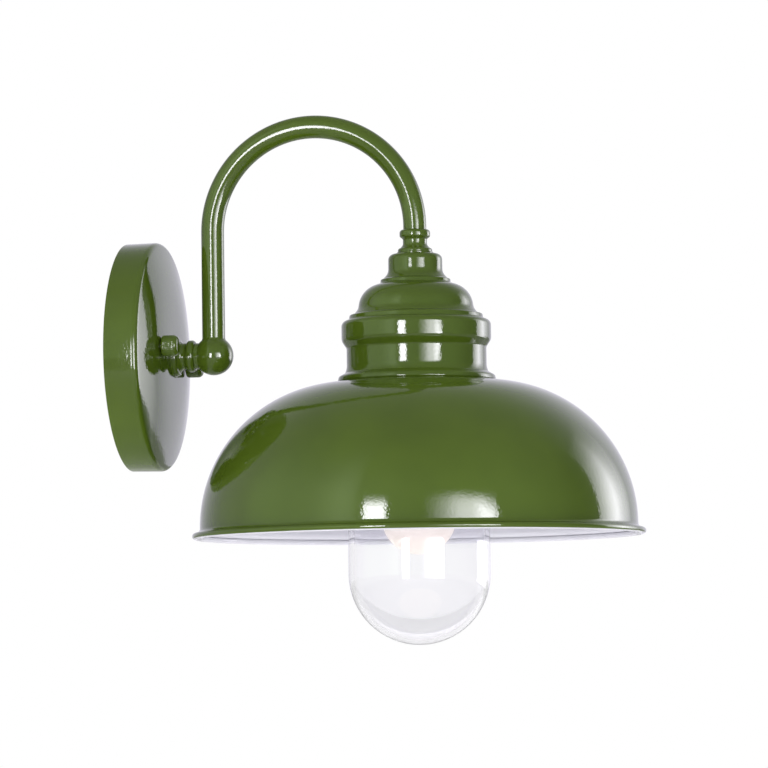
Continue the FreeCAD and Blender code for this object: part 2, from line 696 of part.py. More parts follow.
def shade_seal():
    return at_shade(ring(SHADE_FLAT_R, SEAL_INNER_R, CARRIER_TOP, CARRIER_TOP + SEAL_THICK))


def glass_carrier():
    """Disc clamped under the shade, with the collar that the jar screws into."""
    collar_r = COLLAR_INNER_R + COLLAR_WALL
    collar_end = CARRIER_UNDER - COLLAR_DEPTH
    hole = THREAD_R + HOLE_PLAY
    return at_shade(turned([
        (hole, CARRIER_TOP),
        (CARRIER_R, CARRIER_TOP, CARRIER_ROUND),
        (CARRIER_R, CARRIER_UNDER),
        (collar_r, CARRIER_UNDER),
        (collar_r, collar_end, CARRIER_ROUND),
        (COLLAR_INNER_R, collar_end),
        (COLLAR_INNER_R, CARRIER_UNDER),
        (hole, CARRIER_UNDER),
    ]))


def jar_gasket():
    return at_shade(ring(COLLAR_INNER_R - GASKET_FIT, GASKET_INNER_R, JAR_TOP, CARRIER_UNDER))


def glass_jar():
    """Thick glass cylinder with a screwed neck above and a round end below."""
    neck_end = JAR_TOP - JAR_NECK
    shoulder_end = neck_end - JAR_SHOULDER
    bottom = shoulder_end - JAR_BODY - JAR_R
    return at_shade(spun_sheet([
        (JAR_NECK_R, JAR_TOP),
        (JAR_NECK_R, neck_end, JAR_NECK_ROUND),
        (JAR_R, shoulder_end, JAR_SHOULDER_ROUND),
        (JAR_R, bottom, JAR_R),
        (0, bottom),
    ], JAR_WALL))


def centre_nipple():
    top = BELL_TOP + THREAD_BITE
    return at_shade(nipple(top - NIPPLE_BOTTOM), NIPPLE_BOTTOM)


def bell_washer():
    return at_shade(lock_washer(), BELL_TOP - SHEET - WASHER_THICK)


def bell_lock_nut():
    return at_shade(lock_nut(), BELL_TOP - SHEET - WASHER_THICK - NUT_HEIGHT)


def carrier_washer():
    return at_shade(lock_washer(), CARRIER_UNDER - WASHER_THICK)


def carrier_lock_nut():
    return at_shade(lock_nut(), CARRIER_UNDER - WASHER_THICK - NUT_HEIGHT)


# --- Lampholder and bulb ----------------------------------------------------------------------
def lampholder_cap():
    """Metal cap with a tapped bush, on the end of the centre nipple."""
    thread = THREAD_R + THREAD_FIT
    brow = NIPPLE_BOTTOM + HOLDER_CAP_WALL
    return at_shade(turned([
        (thread, HOLDER_TOP),
        (HOLDER_BUSH_R, HOLDER_TOP, HOLDER_BUSH_ROUND),
        (HOLDER_BUSH_R, brow),
        (HOLDER_R, brow - HOLDER_CAP_FALL, HOLDER_CAP_ROUND),
        (HOLDER_R, HOLDER_SEAM),
        (HOLDER_R - HOLDER_CAP_WALL, HOLDER_SEAM),
        (HOLDER_R - HOLDER_CAP_WALL, brow - HOLDER_CAP_FALL - HOLDER_CAP_WALL,
         HOLDER_CAP_ROUND - HOLDER_CAP_WALL),
        (HOLDER_BUSH_R, NIPPLE_BOTTOM),
        (thread, NIPPLE_BOTTOM),
    ]))


def insert_r():
    return SHELL_R + SHELL_WALL + INSERT_LEDGE + INSERT_FIT


def lampholder_body():
    """Porcelain tube with a ledge for the insert."""
    pocket = insert_r() + INSERT_FIT
    bore = pocket - INSERT_LEDGE
    end = HOLDER_SEAM - HOLDER_LENGTH
    return at_shade(turned([
        (pocket, HOLDER_SEAM),
        (HOLDER_R, HOLDER_SEAM),
        (HOLDER_R, end, HOLDER_ROUND),
        (bore, end, HOLDER_ROUND),
        (bore, INSERT_UNDER),
        (pocket, INSERT_UNDER),
    ]))


def lampholder_insert():
    return at_shade(ring(insert_r(), INSERT_WIRE_R, INSERT_UNDER, HOLDER_SEAM))


def lampholder_terminals():
    """Two brass blocks on the insert, one for each side of the lamp."""
    half = TERMINAL_SIZE / 2
    blocks = [Part.makeBox(TERMINAL_SIZE, TERMINAL_SIZE, TERMINAL_HEIGHT,
                           Vector(side * TERMINAL_AT - half, -half, HOLDER_SEAM)) for side in (-1, 1)]
    return at_shade(Part.makeCompound(blocks))


def lamp_screw_shell():
    outer = SHELL_R + SHELL_WALL
    return at_shade(spun_sheet([
        (SHELL_TOP_HOLE_R, INSERT_UNDER),
        (outer, INSERT_UNDER, SHELL_BEND_R),
        (outer, INSERT_UNDER - SHELL_LENGTH),
    ], SHELL_WALL))


def lamp_centre_contact():
    """Riveted contact: a disc under the insert and its shank through it."""
    low = INSERT_UNDER - CONTACT_THICK
    return at_shade(turned([(0, low), (CONTACT_R, low, CONTACT_ROUND), (CONTACT_R, INSERT_UNDER),
                            (INSERT_WIRE_R - SLIP_FIT, INSERT_UNDER), (INSERT_WIRE_R - SLIP_FIT, HOLDER_SEAM),
                            (0, HOLDER_SEAM)]))


def bulb_contact():
    low = BULB_TIP - PIP_HEIGHT
    return at_shade(turned([(0, BULB_TIP), (PIP_R, BULB_TIP, PIP_ROUND), (PIP_R, low), (0, low)]))


def bulb_insulator():
    """Dark glass cone between the contact and the screw cap."""
    top = BULB_TIP - PIP_HEIGHT
    return at_shade(turned([(0, top), (PIP_R, top), (INSULATOR_R, BULB_CAP_TOP), (0, BULB_CAP_TOP)]))


def bulb_cap():
    shoulder = BULB_CAP_TOP - BULB_CAP_SLOPE
    return at_shade(spun_sheet([
        (0, BULB_CAP_TOP),
        (INSULATOR_R, BULB_CAP_TOP),
        (BULB_CAP_R, shoulder, BULB_CAP_ROUND),
        (BULB_CAP_R, BULB_CAP_END),
    ], BULB_CAP_WALL))


def bulb_side(inset):
    """One side of the bulb's glass: neck, hollow curve and ball, moved inwards by inset."""
    neck_r = BULB_CAP_R - BULB_CAP_WALL - BULB_NECK_FIT
    centre_r = neck_r + BULB_NECK_CURVE_R
    drop = math.sqrt((BULB_NECK_CURVE_R + BULB_R) ** 2 - centre_r ** 2)
    lean = math.degrees(math.atan2(drop, centre_r))
    start = [(neck_r - inset, BULB_CAP_END + BULB_NECK_IN), (neck_r - inset, BULB_CAP_END)]
    return line_through(start) + [
        arc_edge(centre_r, BULB_CAP_END, BULB_NECK_CURVE_R + inset, 180, 180 + lean),
        arc_edge(0, BULB_CAP_END - drop, BULB_R - inset, lean, -90),
    ]


def bulb_glass():
    """Frosted bulb: a ball that runs out of its neck in one hollow curve."""
    outer, inner = bulb_side(0), bulb_side(BULB_WALL)
    mouth = Part.makeLine(*[side[0].valueAt(side[0].FirstParameter) for side in (outer, inner)])
    tip = Part.makeLine(*[side[-1].valueAt(side[-1].LastParameter) for side in (outer, inner)])
    return at_shade(revolved(outer + inner + [mouth, tip]))


# --- Wires ------------------------------------------------------------------------------------
def wire(lane, wall_points, lamp_points):
    """One wire: from its wall end through nipple, ball, arch and centre nipple to the lampholder."""
    y = lane * WIRE_PITCH
    middle = [Vector(BALL_X, y, 0)] + arch_corners(y)
    points = wall_points + middle + lamp_points
    radii = [WIRE_BEND_R] * len(wall_points) + [WIRE_ELBOW_R, REACH / 2, REACH / 2]
    radii += [WIRE_BEND_R] * len(lamp_points)
    return pipe(points, radii, WIRE_R)


def clamp_end(lane, across, turn_off):
    """A wire's wall end: out of a pole of the block, then over to the nipple's axis."""
    pole = BRACKET_FRONT + BLOCK_HEIGHT / 2
    inside = on_bracket(pole, BLOCK_START + WIRE_IN_CLAMP, across)
    mouth = on_bracket(pole, BLOCK_START, across)
    return [inside, mouth - (inside - mouth).normalize() * WIRE_R, Vector(turn_off, lane * WIRE_PITCH, 0)]


def lamp_end(lane, side):
    """A wire's lamp end: out of the nipple and across to a terminal."""
    y = lane * WIRE_PITCH
    bend = NIPPLE_BOTTOM - WIRE_DROP
    reach = TERMINAL_AT - TERMINAL_SIZE / 2 - WIRE_END_PLAY
    return [Vector(SHADE_X, y, bend), Vector(SHADE_X + side * reach, 0, bend - WIRE_DIP)]


def live_wire():
    return wire(1, clamp_end(1, POLE_PITCH / 2, ARM_NIPPLE_START - WIRE_STAGGER), lamp_end(1, 1))


def neutral_wire():
    return wire(0, clamp_end(0, -POLE_PITCH / 2, ARM_NIPPLE_START - 2 * WIRE_STAGGER), lamp_end(0, -1))


def earth_wire():
    """The earth wire runs from the bracket's screw to the metal cap of the lampholder."""
    lie = BRACKET_FRONT + WIRE_SEAT + WIRE_R
    y = -WIRE_PITCH
    bend = NIPPLE_BOTTOM - WIRE_DROP
    wall_end = on_bracket(lie, -(EARTH_SCREW_AT - EARTH_SCREW_R - WIRE_SEAT), 0)
    rim = HOLDER_R - HOLDER_CAP_WALL - WIRE_END_PLAY
    lamp_points = [Vector(SHADE_X, y, bend), Vector(SHADE_X, -rim, bend - WIRE_DIP)]
    return wire(-1, [wall_end, Vector(lie, y, 0)], lamp_points)


PIECES = {
    "wall_plate": wall_plate,
    "wall_bracket": wall_bracket,
    "plate_studs": plate_studs,
    "stud_lock_nuts": stud_lock_nuts,
    "near_cap_nut": lambda: cap_nut(0),
    "far_cap_nut": lambda: cap_nut(1),
    "terminal_block": terminal_block,
    "terminal_screws": terminal_screws,
    "earth_screw": earth_screw,
    "arm_nipple": arm_nipple,
    "arm_lock_washer": arm_lock_washer,
    "arm_lock_nut": arm_lock_nut,
    "wall_coupling": wall_coupling,
    "ball_elbow": ball_elbow,
    "arm_tube": arm_tube,
    "neck_coupling": neck_coupling,
    "bell_cap": bell_cap,
    "bell_washer": bell_washer,
    "bell_lock_nut": bell_lock_nut,
    "dome_shade": dome_shade,
    "shade_seal": shade_seal,
    "glass_carrier": glass_carrier,
    "carrier_washer": carrier_washer,
    "carrier_lock_nut": carrier_lock_nut,
    "centre_nipple": centre_nipple,
    "jar_gasket": jar_gasket,
    "glass_jar": glass_jar,
    "lampholder_cap": lampholder_cap,
    "lampholder_body": lampholder_body,
    "lampholder_insert": lampholder_insert,
    "lampholder_terminals": lampholder_terminals,
    "lamp_screw_shell": lamp_screw_shell,
    "lamp_centre_contact": lamp_centre_contact,
    "bulb_contact": bulb_contact,
    "bulb_insulator": bulb_insulator,
    "bulb_cap": bulb_cap,
    "bulb_glass": bulb_glass,
    "live_wire": live_wire,
    "neutral_wire": neutral_wire,
    "earth_wire": earth_wire,
}

os.makedirs("parts", exist_ok=True)
for name, make in PIECES.items():
    shape = make()
    shape.exportStep("parts/" + name + ".step")
    box = shape.BoundBox
    print("%-22s solids %d  valid %s  volume %9.1f  X %6.1f..%6.1f  Y %6.1f..%6.1f  Z %7.1f..%6.1f" % (
        name, len(shape.Solids), shape.isValid(), shape.Volume,
        box.XMin, box.XMax, box.YMin, box.YMax, box.ZMin, box.ZMax))
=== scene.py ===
# %% [markdown]
# # A gooseneck wall sconce
#
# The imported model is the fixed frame: every piece of the light is already there at its real
# size. This file dresses it. The bare solids are made of flat triangles, and a glossy painted
# sheet would show every one of them, so each piece that shows is turned or swept again here
# as a smooth surface of the same size, and only the small fittings keep their solid.

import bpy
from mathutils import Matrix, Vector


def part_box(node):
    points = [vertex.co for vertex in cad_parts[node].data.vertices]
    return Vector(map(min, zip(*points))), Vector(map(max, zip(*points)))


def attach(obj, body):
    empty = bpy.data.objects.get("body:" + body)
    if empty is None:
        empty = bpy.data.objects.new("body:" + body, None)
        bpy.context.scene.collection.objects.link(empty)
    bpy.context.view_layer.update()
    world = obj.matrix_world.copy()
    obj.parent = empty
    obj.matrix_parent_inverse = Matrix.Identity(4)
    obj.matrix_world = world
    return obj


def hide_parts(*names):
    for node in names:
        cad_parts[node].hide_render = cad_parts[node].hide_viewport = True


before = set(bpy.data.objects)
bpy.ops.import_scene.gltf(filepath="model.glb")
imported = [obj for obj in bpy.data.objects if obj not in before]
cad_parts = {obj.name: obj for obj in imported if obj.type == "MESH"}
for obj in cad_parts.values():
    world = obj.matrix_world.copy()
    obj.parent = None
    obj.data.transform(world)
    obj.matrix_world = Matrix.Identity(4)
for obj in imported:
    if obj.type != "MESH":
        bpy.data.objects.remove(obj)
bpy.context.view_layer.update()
print("nodes:", len(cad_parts))

# %% Modules and units
import math

import bmesh
import bpy
import numpy as np
from mathutils import Matrix

MM = 0.001


def box_mm(node):
    """Lowest and highest corner of a node of the frame, in millimetres."""
    low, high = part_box(node)
    return np.array(low) / MM, np.array(high) / MM


shade_low, shade_high = box_mm("dome_shade")
bell_low, bell_high = box_mm("bell_cap")
tube_low, _ = box_mm("arm_tube")
SHADE_X = (shade_low[0] + shade_high[0]) / 2
print("shade axis at X = %.1f mm, shade %.1f mm across" % (SHADE_X, shade_high[1] - shade_low[1]))

# %% [markdown]
# ## Camera
#
# The photograph was taken with a long lens from a little to the right of square-on and a
# little below the light. A long lens keeps the circles of the shade and the wall plate nearly
# the same size at the front and the back, so the camera stands about three metres away.

# %% Camera
CAMERA_AZIMUTH = 11.1       # degrees round from square-on
CAMERA_ELEVATION = -3.9     # degrees; the camera is below the light
CAMERA_ROLL = 0.8
CAMERA_DISTANCE = 3.086     # metres
CAMERA_LENS = 215.6         # millimetres, on a 36 mm sensor
AIM = np.array([0.1741, 0.0, -0.0223])


def camera_axes(azimuth, elevation, roll):
    """Unit vectors to the right, up and back, for a camera that looks at the aim."""
    a, e, r = np.radians([azimuth, elevation, roll])
    back = np.array([math.sin(a) * math.cos(e), -math.cos(a) * math.cos(e), math.sin(e)])
    right = np.cross(-back, [0.0, 0.0, 1.0])
    right /= np.linalg.norm(right)
    up = np.cross(back, right)
    return right * math.cos(r) - up * math.sin(r), right * math.sin(r) + up * math.cos(r), back


def matrix_from_axes(right, up, back, place):
    """A 4 by 4 matrix, as rows, whose columns are three axes and a place."""
    matrix = np.eye(4)
    matrix[:3, 0], matrix[:3, 1], matrix[:3, 2], matrix[:3, 3] = right, up, back, place
    return matrix.tolist()


cam_right, cam_up, cam_back = camera_axes(CAMERA_AZIMUTH, CAMERA_ELEVATION, CAMERA_ROLL)
camera_data = bpy.data.cameras.new("studio_camera")
camera_data.lens = CAMERA_LENS
camera_data.sensor_width = 36.0
camera_data.clip_end = 50.0
camera = bpy.data.objects.new("studio_camera", camera_data)
bpy.context.scene.collection.objects.link(camera)
cam_place = AIM + cam_back * CAMERA_DISTANCE
camera.matrix_world = Matrix(matrix_from_axes(cam_right, cam_up, cam_back, cam_place))
bpy.context.scene.camera = camera
print("camera at", np.round(cam_place, 3))

# %% [markdown]
# ## Profiles and surfaces
#
# Nearly everything on this light was spun or turned: a flat disc pressed against a turning
# form, or a bar cut on a lathe. Both give a surface of revolution, which is a profile carried
# round an axis. A profile is written as its corners with a rounding radius each, the way a
# turner's drawing gives it, and the arcs are worked out from that.

# %% Profile helpers
ARC_STEP = 5.0              # degrees between two points of an arc


def rounded(corners, step=ARC_STEP):
    """Points of a path whose corners are rounded.

    A corner with radius R is replaced by an arc that touches both of its sides. It starts
    R / tan(half the angle) before the corner, and its centre lies R / sin(half the angle)
    away on the line that halves the angle.
    """
    points = [np.array(c[:2], float) for c in corners]
    runs = []
    for i, corner in enumerate(corners):
        radius = corner[2] if len(corner) > 2 else 0.0
        if radius <= 0 or i in (0, len(corners) - 1):
            runs.append(points[i][None, :])
            continue
        back = points[i - 1] - points[i]
        ahead = points[i + 1] - points[i]
        back /= np.linalg.norm(back)
        ahead /= np.linalg.norm(ahead)
        half = math.acos(np.clip(back @ ahead, -1, 1)) / 2
        middle = (back + ahead) / np.linalg.norm(back + ahead)
        centre = points[i] + middle * radius / math.sin(half)
        start = points[i] + back * radius / math.tan(half) - centre
        end = points[i] + ahead * radius / math.tan(half) - centre
        sweep = math.pi - 2 * half
        turn = np.sign(start[0] * end[1] - start[1] * end[0])
        angles = np.linspace(0, turn * sweep, max(3, int(math.degrees(sweep) / step) + 2))
        c, s = np.cos(angles), np.sin(angles)
        runs.append(centre + np.stack([start[0] * c - start[1] * s, start[0] * s + start[1] * c], 1))
    path = np.concatenate(runs)
    apart = np.linalg.norm(np.diff(path, axis=0), axis=1) > 1e-6
    return path[np.concatenate([[True], apart])]


def sheet(corners, wall):
    """Both sides of a sheet as corners: the path, then its copy one wall to the right, reversed."""
    inner = []
    for i, corner in enumerate(corners):
        sides = []
        for a, b in ((i - 1, i), (i, i + 1)):
            if a >= 0 and b < len(corners):
                along = np.array(corners[b][:2], float) - corners[a][:2]
                along /= np.linalg.norm(along)
                sides.append(np.array([along[1], -along[0]]))
        first, second = sides[0], sides[-1]
        place = np.array(corner[:2], float) + wall * (first + second) / (1 + first @ second)
        radius = corner[2] if len(corner) > 2 else 0.0
        if radius > 0:
            turns_right = first[0] * second[1] - first[1] * second[0] < 0
            radius = max(radius - wall, 0.0) if turns_right else radius + wall
        inner.append((place[0], place[1], radius))
    return list(corners), inner[::-1]


# %% Surface helpers
AROUND = 192                # faces round a turned piece
SHARP = 32.0                # degrees; a steeper crease stays a crease

AXES = {
    "Z": np.array([[1.0, 0.0, 0.0], [0.0, 1.0, 0.0], [0.0, 0.0, 1.0]]),
    "X": np.array([[0.0, 1.0, 0.0], [0.0, 0.0, 1.0], [1.0, 0.0, 0.0]]),
}


def grid_faces(rows, columns, close_rows, close_columns):
    """Corner numbers of the quads of a grid, which may be closed in either direction."""
    r = np.arange(rows if close_rows else rows - 1)
    c = np.arange(columns if close_columns else columns - 1)
    r, c = np.meshgrid(r, c, indexing="ij")
    r2, c2 = (r + 1) % rows, (c + 1) % columns
    quads = np.stack([r * columns + c, r2 * columns + c, r2 * columns + c2, r * columns + c2], -1)
    return quads.reshape(-1, 4)


def piece(name, patches, body, stands_for, material, sharp=SHARP):
    """One smooth object from grids of points in millimetres, its doubles merged and faces outwards."""
    points, faces, base = [], [], 0
    for grid, close_rows, close_columns in patches:
        rows, columns = grid.shape[:2]
        points.append(grid.reshape(-1, 3))
        faces.append(grid_faces(rows, columns, close_rows, close_columns) + base)
        base += rows * columns
    points = np.concatenate(points) * MM
    faces = np.concatenate(faces)
    mesh = bpy.data.meshes.new(name)
    mesh.from_pydata(points.tolist(), [], faces.tolist())
    work = bmesh.new()
    work.from_mesh(mesh)
    bmesh.ops.remove_doubles(work, verts=work.verts, dist=1e-7)
    bmesh.ops.dissolve_degenerate(work, dist=1e-8, edges=work.edges)
    bmesh.ops.recalc_face_normals(work, faces=work.faces)
    work.to_mesh(mesh)
    work.free()
    mesh.polygons.foreach_set("use_smooth", np.ones(len(mesh.polygons), bool))
    mesh.set_sharp_from_angle(angle=math.radians(sharp))
    mesh.materials.append(material)
    thing = bpy.data.objects.new(name, mesh)
    bpy.context.scene.collection.objects.link(thing)
    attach(thing, body)
    if stands_for:
        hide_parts(*stands_for)
    print("%-20s %6d faces" % (name, len(mesh.polygons)))
    return thing


def turned(profile, origin, axis="Z", around=AROUND, closed=True):
    """A profile of (radius, height) carried round an axis.

    The point (r, h) at angle t is origin + r cos t A + r sin t B + h C, where C is the axis
    and A and B are the two directions square to it.
    """
    t = np.linspace(0, 2 * math.pi, around, endpoint=False)
    a, b, c = AXES[axis]
    r, h = profile[:, :1, None], profile[:, 1:2, None]
    grid = (r * np.cos(t)[None, :, None] * a + r * np.sin(t)[None, :, None] * b + h * c)
    return grid + np.array(origin, float), closed, True

# %% [markdown]
# ## Materials
#
# A material says how its surface was made as well as its colour. The green is a thick glossy
# coat over steel, and what tells the eye so is the fine unevenness of its reflections, known
# as orange peel. Every pattern below is sized in real millimetres.

# %% Colour and node helpers
def hex_colour(code):
    """A web colour turned from sRGB to the linear values that a shader works in."""
    channels = [int(code[i:i + 2], 16) / 255 for i in (1, 3, 5)]
    linear = [c / 12.92 if c <= 0.04045 else ((c + 0.055) / 1.055) ** 2.4 for c in channels]
    return (*linear, 1.0)


def add_node(tree, kind, values=None, links=None, **settings):
    """Add a node, set its properties and socket values, and link outputs into its inputs."""
    node = tree.nodes.new(kind)
    for key, value in settings.items():
        setattr(node, key, value)
    for socket, value in (values or {}).items():
        node.inputs[socket].default_value = value
    for socket, output in (links or {}).items():
        tree.links.new(output, node.inputs[socket])
    return node


def maths(tree, operation, first, second):
    """The output of a Math node; each input is another node's output or a number."""
    node = add_node(tree, "ShaderNodeMath", operation=operation)
    for socket, value in zip(node.inputs, (first, second)):
        if isinstance(value, (int, float)):
            socket.default_value = value
        else:
            tree.links.new(value, socket)
    return node.outputs[0]


def seen_plainly(tree):
    """1 on a ray that comes straight from the camera or through glass, and 0 on any other."""
    ray = add_node(tree, "ShaderNodeLightPath").outputs
    return maths(tree, "MAXIMUM", ray["Is Camera Ray"], ray["Is Transmission Ray"])


def ramp(tree, source, stops):
    """A colour ramp whose stops are (place, colour)."""
    node = add_node(tree, "ShaderNodeValToRGB", links={"Fac": source})
    elements = node.color_ramp.elements
    while len(elements) < len(stops):
        elements.new(0.5)
    for element, (place, colour) in zip(elements, stops):
        element.position = place
        element.color = colour
    return node.outputs["Color"]


def grey(value):
    return (value, value, value, 1.0)


def new_material(name, **sockets):
    """A material with one Principled shader; sockets with constant values are set on it."""
    material = bpy.data.materials.new(name)
    material.use_nodes = True
    shader = material.node_tree.nodes["Principled BSDF"]
    for socket, value in sockets.items():
        shader.inputs[socket.replace("_", " ")].default_value = value
    return material, material.node_tree, shader


def noise(tree, cell, detail=2.0, stretch=(1.0, 1.0, 1.0)):
    """Noise whose cells are about this many millimetres wide."""
    place = add_node(tree, "ShaderNodeTexCoord").outputs["Object"]
    scaled = add_node(tree, "ShaderNodeMapping", {"Scale": stretch}, {"Vector": place})
    return add_node(tree, "ShaderNodeTexNoise", {"Scale": 1 / (cell * MM), "Detail": detail},
                    {"Vector": scaled.outputs["Vector"]}).outputs["Fac"]


def relief(tree, shader, height, depth):
    """Bump of this depth in millimetres, from a height between 0 and 1."""
    bump = add_node(tree, "ShaderNodeBump", {"Strength": 1.0, "Distance": depth * MM},
                    {"Height": height})
    tree.links.new(bump.outputs["Normal"], shader.inputs["Normal"])


def varied(tree, shader, socket, source, low, high):
    """Carry a 0 to 1 source over to a socket, between two values."""
    spread = add_node(tree, "ShaderNodeMapRange", {"To Min": low, "To Max": high}, {"Value": source})
    tree.links.new(spread.outputs["Result"], shader.inputs[socket])


# %% Sprayed and fired coatings
def coated(name, light, dark, cell, depth, rough):
    """A glossy coat on steel: faint mottle in its colour and orange peel in its surface."""
    material, tree, shader = new_material(name)
    cloud = noise(tree, 55.0)
    tree.links.new(ramp(tree, cloud, [(0.35, hex_colour(dark)), (0.65, hex_colour(light))]),
                   shader.inputs["Base Color"])
    varied(tree, shader, "Roughness", noise(tree, 9.0), rough * 0.8, rough * 1.25)
    relief(tree, shader, noise(tree, cell, 1.0), depth)
    return material


green_enamel = coated("green_gloss_sprayed", "#53691d", "#4d621b", 1.8, 0.04, 0.05)
white_enamel = coated("white_gloss_sprayed", "#e9e9ee", "#e2e2e8", 2.2, 0.03, 0.12)
print("coatings:", green_enamel.name, white_enamel.name)


# %% Bare metals
def metal(name, light, dark, rough_low, rough_high, cell, stretch=(1.0, 1.0, 1.0)):
    """Bare metal: the grain of its making shows as slightly uneven shine and colour."""
    material, tree, shader = new_material(name, Metallic=1.0)
    grain = noise(tree, cell, 4.0, stretch)
    tree.links.new(ramp(tree, grain, [(0.3, hex_colour(dark)), (0.7, hex_colour(light))]),
                   shader.inputs["Base Color"])
    varied(tree, shader, "Roughness", grain, rough_low, rough_high)
    relief(tree, shader, grain, 0.01)
    return material


zinc_steel = metal("steel_zinc_plated", "#c9ccce", "#b3b6ba", 0.24, 0.38, 3.0)
turned_brass = metal("brass_turned", "#d8b56a", "#c39d52", 0.18, 0.3, 0.5, (1.0, 1.0, 6.0))
drawn_aluminium = metal("aluminium_drawn", "#d6d7d9", "#c5c6c8", 0.22, 0.34, 0.6, (1.0, 1.0, 8.0))
print("metals:", zinc_steel.name, turned_brass.name, drawn_aluminium.name)


# %% Ceramic, rubber and plastics
def moulded(name, light, dark, rough, cell, depth, ior=1.5):
    """A solid-coloured material with a faint cloud in its colour and a fine skin."""
    material, tree, shader = new_material(name, IOR=ior)
    tree.links.new(ramp(tree, noise(tree, 12.0), [(0.3, hex_colour(dark)), (0.7, hex_colour(light))]),
                   shader.inputs["Base Color"])
    varied(tree, shader, "Roughness", noise(tree, 4.0), rough * 0.85, rough * 1.15)
    relief(tree, shader, noise(tree, cell, 2.0), depth)
    return material


porcelain = moulded("porcelain_glazed", "#f2f0ea", "#e8e5dc", 0.12, 3.0, 0.02)
black_rubber = moulded("rubber_cut", "#262626", "#1c1c1c", 0.7, 0.4, 0.02)
white_nylon = moulded("nylon_moulded", "#ecebe4", "#e2e1d8", 0.4, 0.6, 0.01)
dark_glass = moulded("vitrite_cast", "#17171a", "#0e0e10", 0.1, 1.5, 0.01)
brown_wire = moulded("insulation_brown", "#5a3520", "#4a2917", 0.35, 0.5, 0.01)
blue_wire = moulded("insulation_blue", "#2c5fa8", "#244f91", 0.35, 0.5, 0.01)


# %% Striped insulation
def striped_insulation(name, first, second, pitch):
    """Two colours in bands that wind round the wire, a few millimetres apart."""
    material, tree, shader = new_material(name, Roughness=0.35)
    place = add_node(tree, "ShaderNodeTexCoord").outputs["Object"]
    bands = add_node(tree, "ShaderNodeTexWave", {"Scale": 1 / (pitch * MM) / 3, "Distortion": 0.0},
                     {"Vector": place}, wave_type="BANDS", bands_direction="DIAGONAL")
    stops = [(0.58, hex_colour(first)), (0.62, hex_colour(second))]
    tree.links.new(ramp(tree, bands.outputs["Fac"], stops), shader.inputs["Base Color"])
    return material


earth_wire_skin = striped_insulation("insulation_green_yellow", "#4f8f35", "#e0c62d", 6.0)
print("others:", porcelain.name, black_rubber.name, white_nylon.name, dark_glass.name)


# %% Glass
def blown_glass(name, tint, cell, depth):
    """Clear blown glass: smooth, with a slow waviness from the blowing mould."""
    material, tree, shader = new_material(name, Roughness=0.0, IOR=1.5)
    shader.inputs["Transmission Weight"].default_value = 1.0
    shader.inputs["Base Color"].default_value = tint
    relief(tree, shader, noise(tree, cell, 1.0), depth)
    return material


def frosted_glass(name, colour, glow, strength):
    """A lit bulb: white glass that gives a soft even glow, a little warmer at its end."""
    material, tree, shader = new_material(name, Roughness=0.35)
    shader.inputs["Base Color"].default_value = hex_colour(colour)
    shader.inputs["Emission Strength"].default_value = strength
    place = add_node(tree, "ShaderNodeTexCoord").outputs["Object"]
    height = add_node(tree, "ShaderNodeSeparateXYZ", links={"Vector": place}).outputs["Z"]
    along = add_node(tree, "ShaderNodeMapRange",
                     {"From Min": bulb_low[2] * MM, "From Max": bulb_high[2] * MM},
                     {"Value": height}).outputs["Result"]
    tree.links.new(ramp(tree, along, [(0.0, hex_colour(glow)), (0.5, hex_colour(colour))]),
                   shader.inputs["Emission Color"])
    relief(tree, shader, noise(tree, 0.3, 1.0), 0.01)
    return material


bulb_low, bulb_high = box_mm("bulb_glass")
clear_glass = blown_glass("glass_clear_blown", (0.970, 0.967, 0.984, 1.0), 40.0, 0.15)
opal_glass = frosted_glass("glass_inside_frosted", "#f1ebe8", "#fbe2cc", 0.4)
print("glass:", clear_glass.name, opal_glass.name)

# %% [markdown]
# ## The wall plate
#
# The plate is a shallow dish, pressed from one disc of sheet steel: a straight rim that
# stands on the wall and narrows a little towards it, a rounded edge, and a face that bulges
# slightly so that it doesn't drum or dent. It is one profile turned about X, drawn with both
# sides of its sheet.

# %% Wall plate
SHEET = 1.2
PLATE_R, PLATE_SIDE, PLATE_CROWN, PLATE_EDGE_R, PLATE_SEAT_R = 77.5, 22.0, 8.0, 4.0, 18.0
PLATE_FRONT = PLATE_SIDE + PLATE_CROWN
PLATE_DRAFT = 0.4            # how much the rim narrows towards the wall
NIPPLE_HOLE_R = 5.2


def sheet_profile(corners, wall=SHEET):
    """A closed profile: one side of the sheet out and the other side back."""
    outer, inner = sheet(corners, wall)
    return np.concatenate([rounded(outer), rounded(inner)])


knee = (PLATE_SEAT_R + PLATE_R - PLATE_EDGE_R) / 2
face_slope = math.atan2(PLATE_CROWN, PLATE_R - knee)
face_r = (knee - PLATE_SEAT_R) / math.tan(face_slope / 2)
plate_corners = [(NIPPLE_HOLE_R, PLATE_FRONT), (knee, PLATE_FRONT, face_r),
                 (PLATE_R, PLATE_SIDE, PLATE_EDGE_R), (PLATE_R - PLATE_DRAFT, 0)]
piece("plate_pressed", [turned(sheet_profile(plate_corners), (0, 0, 0), "X")],
      "fixture", ["wall_plate"], green_enamel)

# %% [markdown]
# ## Turned couplings
#
# Both ends of the arm meet their seat in a small turned foot: a flange, a hollow waist and a
# bead. They were cut from bar on a lathe, so each one is a single turned profile.

# %% Couplings
COUPLING = {"flange_edge": 1.1, "edge_r": 0.4, "step": 0.7, "shoulder": 3.5, "shoulder_r": 1.8,
            "lip": 1.9, "drop": 0.4, "hollow": 6.0, "hollow_r": 3.0, "rise": 1.6,
            "foot_r": 1.5, "low_r": 1.8, "top_r": 2.3}


